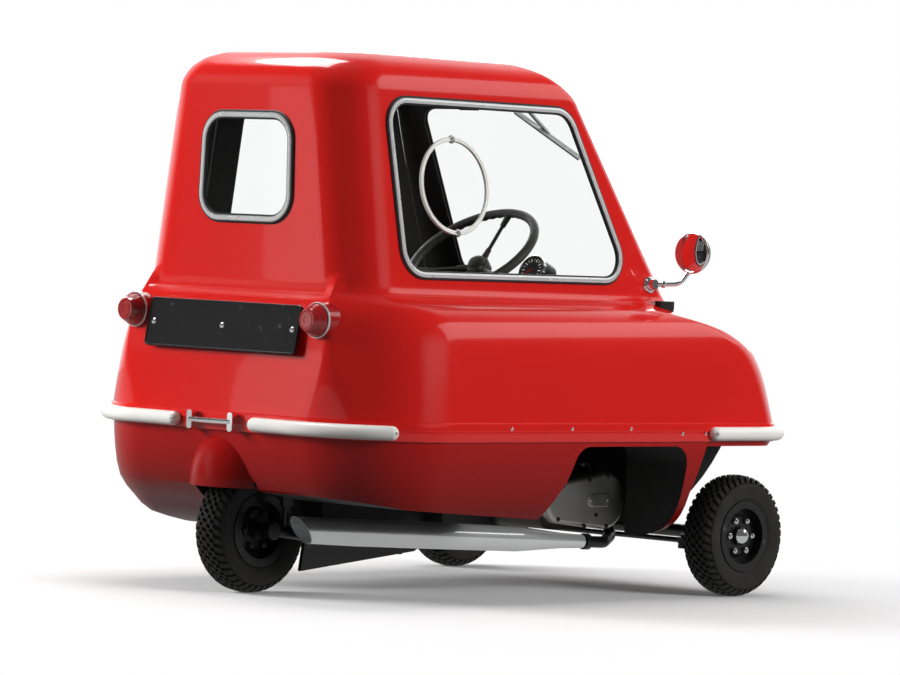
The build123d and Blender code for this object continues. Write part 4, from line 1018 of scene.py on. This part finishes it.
def rim_shape(around=288, grip=18):
    """The ring by its two angles, with notches on the far side of the grip."""
    a, b = angles(around)[:, None], angles(grip)[None, :]
    r = GRIP_R - NOTCH * (1 + np.cos(NOTCHES * a)) / 2 * np.maximum(0, np.cos(b - NOTCH_SIDE)) ** 2
    reach = RIM_R + r * np.cos(b)
    points = np.stack([reach * np.cos(a), reach * np.sin(a), r * np.sin(b)], -1)
    return points.reshape(-1, 3), grid_faces(around, grip, True, True)


def spoke_shape(turn):
    """A rod from the boss to the rim, thicker where a sleeve covers it."""
    way = np.array([np.cos(turn), np.sin(turn), 0])
    foot = way * SPOKE_FOOT_R + np.array([0, 0, SPOKE_FOOT_Z])
    return tube(foot + SPOKE[:, :1] * (way * RIM_R - foot), SPOKE[:, 1], 14)


spokes = [spoke_shape(turn) for turn in np.radians((90, 210, 330))]
wheel_points, wheel_faces = gathered([rim_shape(), turned(BOSS, ORIGIN, OUT, 40), *spokes])
piece("notched_wheel", placed(wheel_points, WHEEL_CENTRE, wheel_axes), wheel_faces, GREY, "steering",
      "grey_plastic", ["steering_wheel"], angle=40.0)
print("steering wheel faces:", len(wheel_faces))

# %% [markdown]
# ## Instrument
# One round speedometer stands on the shelf. Its can is the plain solid; a bright bezel, a dark face with
# a ring of strokes, a needle and a flat glass are added in front of it.

# %% Dial
dial_axes, DIAL_DEPTH = facing(np.radians(25.0)), 46.0
DIAL_FACE = np.array([300.0, -40.0, 690.0]) + dial_axes[2] * DIAL_DEPTH
BEZEL = [(30.5, 0.2), (30.5, 2.2), (32.0, 3.4), (34.5, 3.2), (36.2, 1.2), (36.4, -7.0), (36.0, -7.0)]
DIAL_COVER = [(0, 2.6), (30.4, 2.2), (30.4, 1.9), (0, 2.2)]
STROKE_ANGLES = np.radians(np.linspace(-40, 220, 15))
# Inner radius and half width of the long and short strokes
LONG_STROKE, SHORT_STROKE, STROKE_END = (20, 0.9), (22, 0.5), 28


def stroke(angle, inner, outer, half, lift=0.5, rise=0.4):
    """A flat bar on the dial between two radii at an angle."""
    run, side = np.array([np.cos(angle), np.sin(angle)]), np.array([-np.sin(angle), np.cos(angle)])
    corners = ((inner, -half), (outer, -half), (outer, half), (inner, half))
    flat = np.array([run * reach + side * step for reach, step in corners])
    return prism(*(np.insert(flat, 2, z, axis=1) for z in (lift, lift + rise)))


def dial_piece(name, shape, *look, **more):
    """A shape in the dial's own axes, mounted on its face."""
    points, faces = shape
    piece(name, placed(points, DIAL_FACE, dial_axes), faces, *look, **more)


marks = []
for k, angle in enumerate(STROKE_ANGLES):
    inner, half = SHORT_STROKE if k % 2 else LONG_STROKE
    marks.append(stroke(angle, inner, STROKE_END, half))
dial_piece("dial_bezel", turned(BEZEL, ORIGIN, OUT, 56), CHROME, "body", "chrome", outward=False)
dial_piece("dial_strokes", gathered(marks), CREAM, "body", "cream")
dial_piece("dial_needle", stroke(np.radians(215), -5, 24, 0.7, 1.2), RED, "body", "red_shell")
dial_piece("dial_glass", turned(DIAL_COVER, ORIGIN, OUT, 48), GLASS, "body", "glass")
print("dial strokes:", len(marks))

# %% [markdown]
# ## Mirror, vent ring and engine cover
# The door mirror is slightly domed, in a rolled bright rim, on a flanged foot. The side window's round
# vent has a grooved cream ring with a swivel at its top and bottom. The alloy engine cover carries screws
# and a blank oval plate.

# %% Mirror
MIRROR_AIM, MIRROR_R, MIRROR_RISE = np.radians(4.0), 41.0, 3.6
mirror_head = [((388.0, -404.0, 763.0), (-np.cos(MIRROR_AIM), -np.sin(MIRROR_AIM), 0.0))]
dome_r = np.linspace(0, MIRROR_R, 12)
dome = np.column_stack([dome_r, 1.0 + MIRROR_RISE * (1 - (dome_r / MIRROR_R) ** 2)])
dome = np.vstack([dome, [(MIRROR_R, -0.5), (0, -0.5)]])
turned_piece("domed_mirror", dome, mirror_head, 56, MIRROR, "body", "mirror", ["wing_mirror_glass"],
             angle=50.0)
turned_piece("mirror_rim", hoop_section(43.2, 0.6, 3.0, 3.4, 12), mirror_head, 56, CHROME, "body", "chrome")

FLANGE = [(0, 9.0), (12.5, 9.0), (13.2, 8.0), (13.2, 5.0), (17.0, 4.0), (18.5, 2.5), (18.5, 0.0), (0, 0.0)]
STALK_NUT = [(0, 7), (7.5, 7), (8.6, 5.8), (8.6, 1.2), (7.5, 0), (0, 0)]
STALK_SPOT, STALK_RUN = (338, -361.5, 690.7), (54, -30, 3)
flange_spot = RIGHT_WALL.at([(318.0, 88.0 / np.cos(LEAN))])[0] / MM
foot_points, foot_faces = gathered([turned(FLANGE, flange_spot, RIGHT_WALL.out, 40),
                                    turned(STALK_NUT, STALK_SPOT, STALK_RUN, HEX)])
piece("mirror_foot", foot_points * MM, foot_faces, CHROME, "body", "chrome", angle=28.0)

# %% Vent ring and engine cover
VENT_RING = [(95.8, 0.1), (95.8, 4.0), (96.8, 5.6), (98.6, 5.9), (99.8, 5.0), (101.2, 5.0), (102.4, 5.9),
             (104.2, 5.6), (105.2, 4.0), (105.2, 0.1), (95.8, 0.1)]
SWIVEL = [(0, 9.0), (4.0, 8.8), (5.2, 7.6), (5.2, 5.8), (8.4, 5.4), (8.8, 4.6), (8.8, 1.0), (0, 1.0)]
SWIVEL_R = 100.5
vent_centre = RIGHT_WALL.at([(-292.0, 288.0)])[0] / MM
swivels = [(vent_centre + side * SWIVEL_R * RIGHT_WALL.up, RIGHT_WALL.out) for side in (-1, 1)]
vent_place = [(vent_centre, RIGHT_WALL.out)]
turned_piece("vent_hoop", VENT_RING, vent_place, 96, CREAM, "body", "cream", ["vent_ring"])
turned_piece("vent_swivels", SWIVEL, swivels, 20, STEEL, "body", "steel", angle=28.0)

COVER_FACE, COVER_OUT = -250.0, (0, -1, 0)
COVER_SCREWS = [(310, 259), (250, 250), (165, 238), (152, 164), (238, 148), (312, 147), (366, 203),
                (276, 172)]
OVAL = [(246, 190), (322, 190), (322, 220), (246, 220)]
OVAL_CENTRE, OVAL_R, OVAL_STEPS = (284, 205), 14.8, 64
# Size of the oval and how far it stands off the cover
OVAL_ROWS = [(1.0, -0.5), (1.0, 1.6), (0.94, 2.4)]
cover_places = [((x, COVER_FACE, z), COVER_OUT) for x, z in COVER_SCREWS]
turned_piece("cover_screws", NUT * (5.0, 3.2), cover_places, 12, IRON, "body", "iron")
oval = evenly(rounded(OVAL, [OVAL_R] * 4), OVAL_STEPS)
oval_rows = [np.insert(oval * size + np.multiply(OVAL_CENTRE, 1 - size), 1, COVER_FACE - lift, axis=1)
             for size, lift in OVAL_ROWS]
oval_ends = [range(OVAL_STEPS - 1, -1, -1), range(2 * OVAL_STEPS, 3 * OVAL_STEPS)]
oval_faces = [*grid_faces(len(OVAL_ROWS), OVAL_STEPS, wrap_cols=True), *oval_ends]
piece("cover_oval", np.concatenate(oval_rows) * MM, oval_faces, ALLOY, "body", "alloy")
oval_rivets = [((x, COVER_FACE - 2.3, OVAL_CENTRE[1]), COVER_OUT) for x in (256, 312)]
turned_piece("oval_rivets", DOME * (3.0, 1.4), oval_rivets, HEAD_STEPS, STEEL, "body", "steel")
print("cover screws:", len(cover_places))

# %% [markdown]
# ## Headlamp
# One round lamp stands in the middle of the nose. Its glass is a shallow dome, x = h (1 - (r / R)
# squared), fluted upright by a cosine of the distance across, and it is held by a rolled bright rim.

# %% Headlamp
LAMP_AT, LENS_R, LENS_RISE = np.array([664.0, 0.0, 500.0]), 64.0, 18.6
FLUTE, FLUTE_DEPTH, FLUTE_END = 9.0, 0.7, 6.0


def fluted_lens(rings=30, steps=120):
    """Polar grid of the dome with upright flutes that die out at the rim, closed by a flat back."""
    r, a = np.linspace(0, LENS_R, rings)[:, None], angles(steps)[None, :]
    y, z = r * np.cos(a), r * np.sin(a)
    edge = np.clip((LENS_R - FLUTE_END - r) / FLUTE_END, 0, 1)
    wave = (np.cos(2 * np.pi * y / FLUTE) - 1) / 2
    front = np.stack([0.6 + LENS_RISE * (1 - (r / LENS_R) ** 2) + FLUTE_DEPTH * edge * wave, y, z], -1)
    back = front[::-1].copy()
    back[..., 0] = 0.2
    grid = np.concatenate([front, back]) + LAMP_AT
    return grid.reshape(-1, 3) * MM, grid_faces(2 * rings, steps, wrap_cols=True)


lens_shape = fluted_lens()
piece("fluted_lens", *lens_shape, CLEAR, "body", "glass", ["headlamp_lens"], angle=50.0)
rim_roll = hoop_section(67.6, 7.4, 4.2, 4.2, 14)
turned_piece("lamp_rim_roll", rim_roll, [(LAMP_AT, (1, 0, 0))], 80, CHROME, "body", "chrome")
print("lens faces:", len(lens_shape[1]))

# %% [markdown]
# ## Padded seat
# The seat is a foam cushion and back under black vinyl. Cloth gives the swell of a real pad: a smaller
# copy of the plain block is remeshed to even squares, blown up by pressure with no gravity, and each
# point may move only a few millimetres, so it stays in the block's space. The sewn channels are pressed
# in afterwards: a point sinks along the pad's face by d exp(-(s / w) squared), with s its distance from
# the nearest channel.

# %% Seat pads
BACK_TILT = np.radians(12)
# Name, share of the plain block's size, way out of the pad's face, way along it, most swell
PADS = {
    "seat_cushion": ("padded_cushion", (0.955, 0.955, 0.87), (0, 0, 1), (1, 0, 0), 5.0),
    "seat_back": ("padded_back", (0.95, 0.955, 0.955), (np.cos(BACK_TILT), 0, np.sin(BACK_TILT)),
                  (-np.sin(BACK_TILT), 0, np.cos(BACK_TILT)), 4.5),
}
VOXEL, PRESSURE, FRAMES, FILL = 6.0, 4.0, 20, 0.8
CHANNELS, CHANNEL_SPAN, CHANNEL_DEPTH, CHANNEL_WIDTH, FACE_DEPTH = 5, 0.72, 4.0, 5.0, 20.0


def coordinates(mesh):
    flat = np.empty(len(mesh.vertices) * 3)
    mesh.vertices.foreach_get("co", flat)
    return flat.reshape(-1, 3)


def put(mesh, points):
    mesh.vertices.foreach_set("co", np.asarray(points).ravel())
    mesh.update()


def blown(obj, cap):
    """Runs the cloth and keeps each point within the cap of where it started."""
    start = coordinates(obj.data)
    cloth = obj.modifiers.new("swell", "CLOTH")
    cloth.settings.use_pressure = True
    cloth.settings.uniform_pressure_force = PRESSURE
    cloth.settings.effector_weights.gravity = 0.0
    for frame_number in range(1, FRAMES + 1):
        bpy.context.scene.frame_set(frame_number)
    settled(obj)
    bpy.context.scene.frame_set(1)
    moved = coordinates(obj.data) - start
    length = np.linalg.norm(moved, axis=1, keepdims=True)
    put(obj.data, start + moved * np.minimum(1.0, cap / np.maximum(length, 1e-9)))


def channelled(mesh, middle, out, along):
    """Presses sewn channels into the upper face of a pad."""
    points = coordinates(mesh)
    run = (points - middle) @ along
    lines = np.linspace(-CHANNEL_SPAN, CHANNEL_SPAN, CHANNELS) * np.abs(run).max()
    away = np.abs(run[:, None] - lines).min(1)
    upper = np.clip((points - middle) @ out / (FACE_DEPTH * MM), 0, 1)
    sink = CHANNEL_DEPTH * MM * np.exp(-(away / (CHANNEL_WIDTH * MM)) ** 2) * upper
    put(mesh, points - sink[:, None] * out)


for node, (name, share, out, along, cap) in PADS.items():
    mesh = nodes[node].data.copy()
    mesh.materials.clear()
    points = coordinates(mesh)
    middle = (points.min(0) + points.max(0)) / 2
    put(mesh, middle + (points - middle) * share)
    pad = linked(name, mesh)
    remesh = pad.modifiers.new("even", "REMESH")
    remesh.mode, remesh.voxel_size = "VOXEL", VOXEL * MM
    settled(pad)
    blown(pad, cap * MM)
    channelled(pad.data, middle, np.array(out, float), np.array(along, float))
    fine = pad.modifiers.new("fine", "SUBSURF")
    fine.levels = fine.render_levels = 1
    settled(pad)
    adopt(pad, VINYL, "body", [node], angle=60.0)
    print(name, "points:", len(pad.data.vertices))

# %% [markdown]
# ## Studio
# A pale floor that keeps the car's shadow, and a white surround. The surround is white only where the
# camera looks at it or where glass and metal mirror the same side; behind the camera it is darker, as in
# a studio, so the red stays deep. Three large soft lights, one overhead and one on either side, light the
# matt part of every surface and are not mirrored. Four cards do the opposite: they only show as
# highlights on the roof edge, the far side, the nose and the rear corner.

# %% Floor and surround
FLOOR_HALF, WHITE = 30.0, rgba(1.0, 1.0, 1.0)
FLOOR_SHARE, FLOOR_DIM, FLOOR_SHEEN = 0.06, 0.12, 0.46
floor_corners = np.array([(-1, -1, 0), (1, -1, 0), (1, 1, 0), (-1, 1, 0)]) * FLOOR_HALF
floor = linked("floor", new_mesh("floor", floor_corners, [(0, 1, 2, 3)], False))
paper = Finish("studio_floor")
spread = paper.node("VectorMath", {"operation": "LENGTH"}, {0: paper.place()}, out="Value")
open_floor = paper.ramp(spread, 0.95, 1.75)
camera_ray, through_ray, glossy_ray = (paper.node("LightPath", out=f"Is {kind} Ray")
                                       for kind in ("Camera", "Transmission", "Glossy"))
seen_floor = (camera_ray + through_ray).clamp()
tint = paper.mix(paper.noise(2.0), rgba(0.91, 0.91, 0.91), rgba(0.93, 0.93, 0.93))
matte = paper.node("BsdfDiffuse", None, {"Color": tint})
white = paper.node("Emission", None, {"Color": WHITE, "Strength": 1.0})
paleness = open_floor * (1.0 - FLOOR_SHARE) + FLOOR_SHARE
lifted = paper.node("MixShader", None, {0: paleness, 1: matte, 2: white})
dim = paper.node("BsdfDiffuse", None, {"Color": rgba(FLOOR_DIM, FLOOR_DIM, FLOOR_DIM)})
sheen = paper.node("Emission", None, {"Color": WHITE, "Strength": FLOOR_SHEEN})
unseen = paper.node("MixShader", None, {0: glossy_ray, 1: dim, 2: sheen})
both = paper.node("MixShader", None, {0: seen_floor, 1: unseen, 2: lifted})
paper.node("OutputMaterial", None, {"Surface": both})
dress(floor, paper.owner)

AMBIENT, AMBIENT_CUT, MIRRORED_DARK = 0.20, 0.8, 0.11
world = bpy.data.worlds.new("studio")
bpy.context.scene.world = world
sky = Finish("studio", world)
ray = {kind: sky.node("LightPath", out=f"Is {kind} Ray") for kind in ("Camera", "Glossy", "Transmission")}
direction = sky.node("TexCoord", out="Generated")
ahead = sky.node("VectorMath", {"operation": "DOT_PRODUCT"}, {0: direction, 1: tuple(sight)}, out="Value")
up = sky.node("SeparateXYZ", None, {0: direction}, out="Z")
behind_car = sky.ramp(ahead, 0.35, 0.7)
camera_side = sky.ramp(ahead, -0.3, -0.95)
above = sky.ramp(up, 0.1, 0.8)
ambient = 1.0 - camera_side * (1.0 - above) * AMBIENT_CUT
mirrored = behind_car * (1.0 - MIRRORED_DARK) + MIRRORED_DARK
seen = (ray["Camera"] + ray["Transmission"]).clamp()
plain = ray["Glossy"] * mirrored + (1.0 - ray["Glossy"]) * ambient * AMBIENT
light = sky.node("Background", None, {"Color": WHITE, "Strength": seen + (1.0 - seen) * plain})
sky.node("OutputWorld", None, {"Surface": light})
print("floor and surround ready")

# %% Lights and cards
# Place, target, size, power, whether it shows in reflections, whether it lights matt surfaces
SOFT_LIGHTS = {
    "overhead": ((0.4, 0.5, 3.4), (-0.1, -0.1, 0.4), (3.0, 2.6), 74.0, False, True),
    "key_left": ((-4.0, 4.0, 2.3), (-0.3, 0.0, 0.7), (2.6, 2.0), 380.0, False, True),
    "key_right": ((2.2, -6.7, 2.6), (0.0, -0.3, 0.7), (3.4, 2.4), 350.0, False, True),
    "roof_card": ((-0.65, 1.0, 3.2), (-0.5, 0.0, 1.1), (1.7, 1.5), 105.0, True, False),
    "backdrop_card": ((2.9, 2.8, 2.1), (0.0, 0.0, 0.6), (4.6, 1.8), 95.0, True, False),
    "front_card": ((3.3, -2.4, 3.0), (0.0, 0.0, 1.0), (3.2, 1.4), 22.0, True, False),
    "rear_card": ((-3.9, 2.4, 0.7), (-0.6, -0.75, 0.85), (1.3, 1.0), 4.0, True, False),
}
for name, (spot, target, size, power, mirrored_too, lights_matt) in SOFT_LIGHTS.items():
    lamp = bpy.data.lights.new(name, "AREA")
    lamp.shape, lamp.energy = "RECTANGLE", power
    lamp.size, lamp.size_y = size
    lamp_object = linked(name, lamp)
    place = np.eye(4)
    place[:3] = np.column_stack([*across(np.subtract(spot, target)), spot])
    lamp_object.matrix_world = Matrix(place.tolist())
    lamp_object.visible_camera = False
    lamp_object.visible_glossy = mirrored_too
    lamp_object.visible_diffuse = lights_matt
bpy.context.scene.view_settings.view_transform = "Standard"
print("lights:", len(SOFT_LIGHTS))
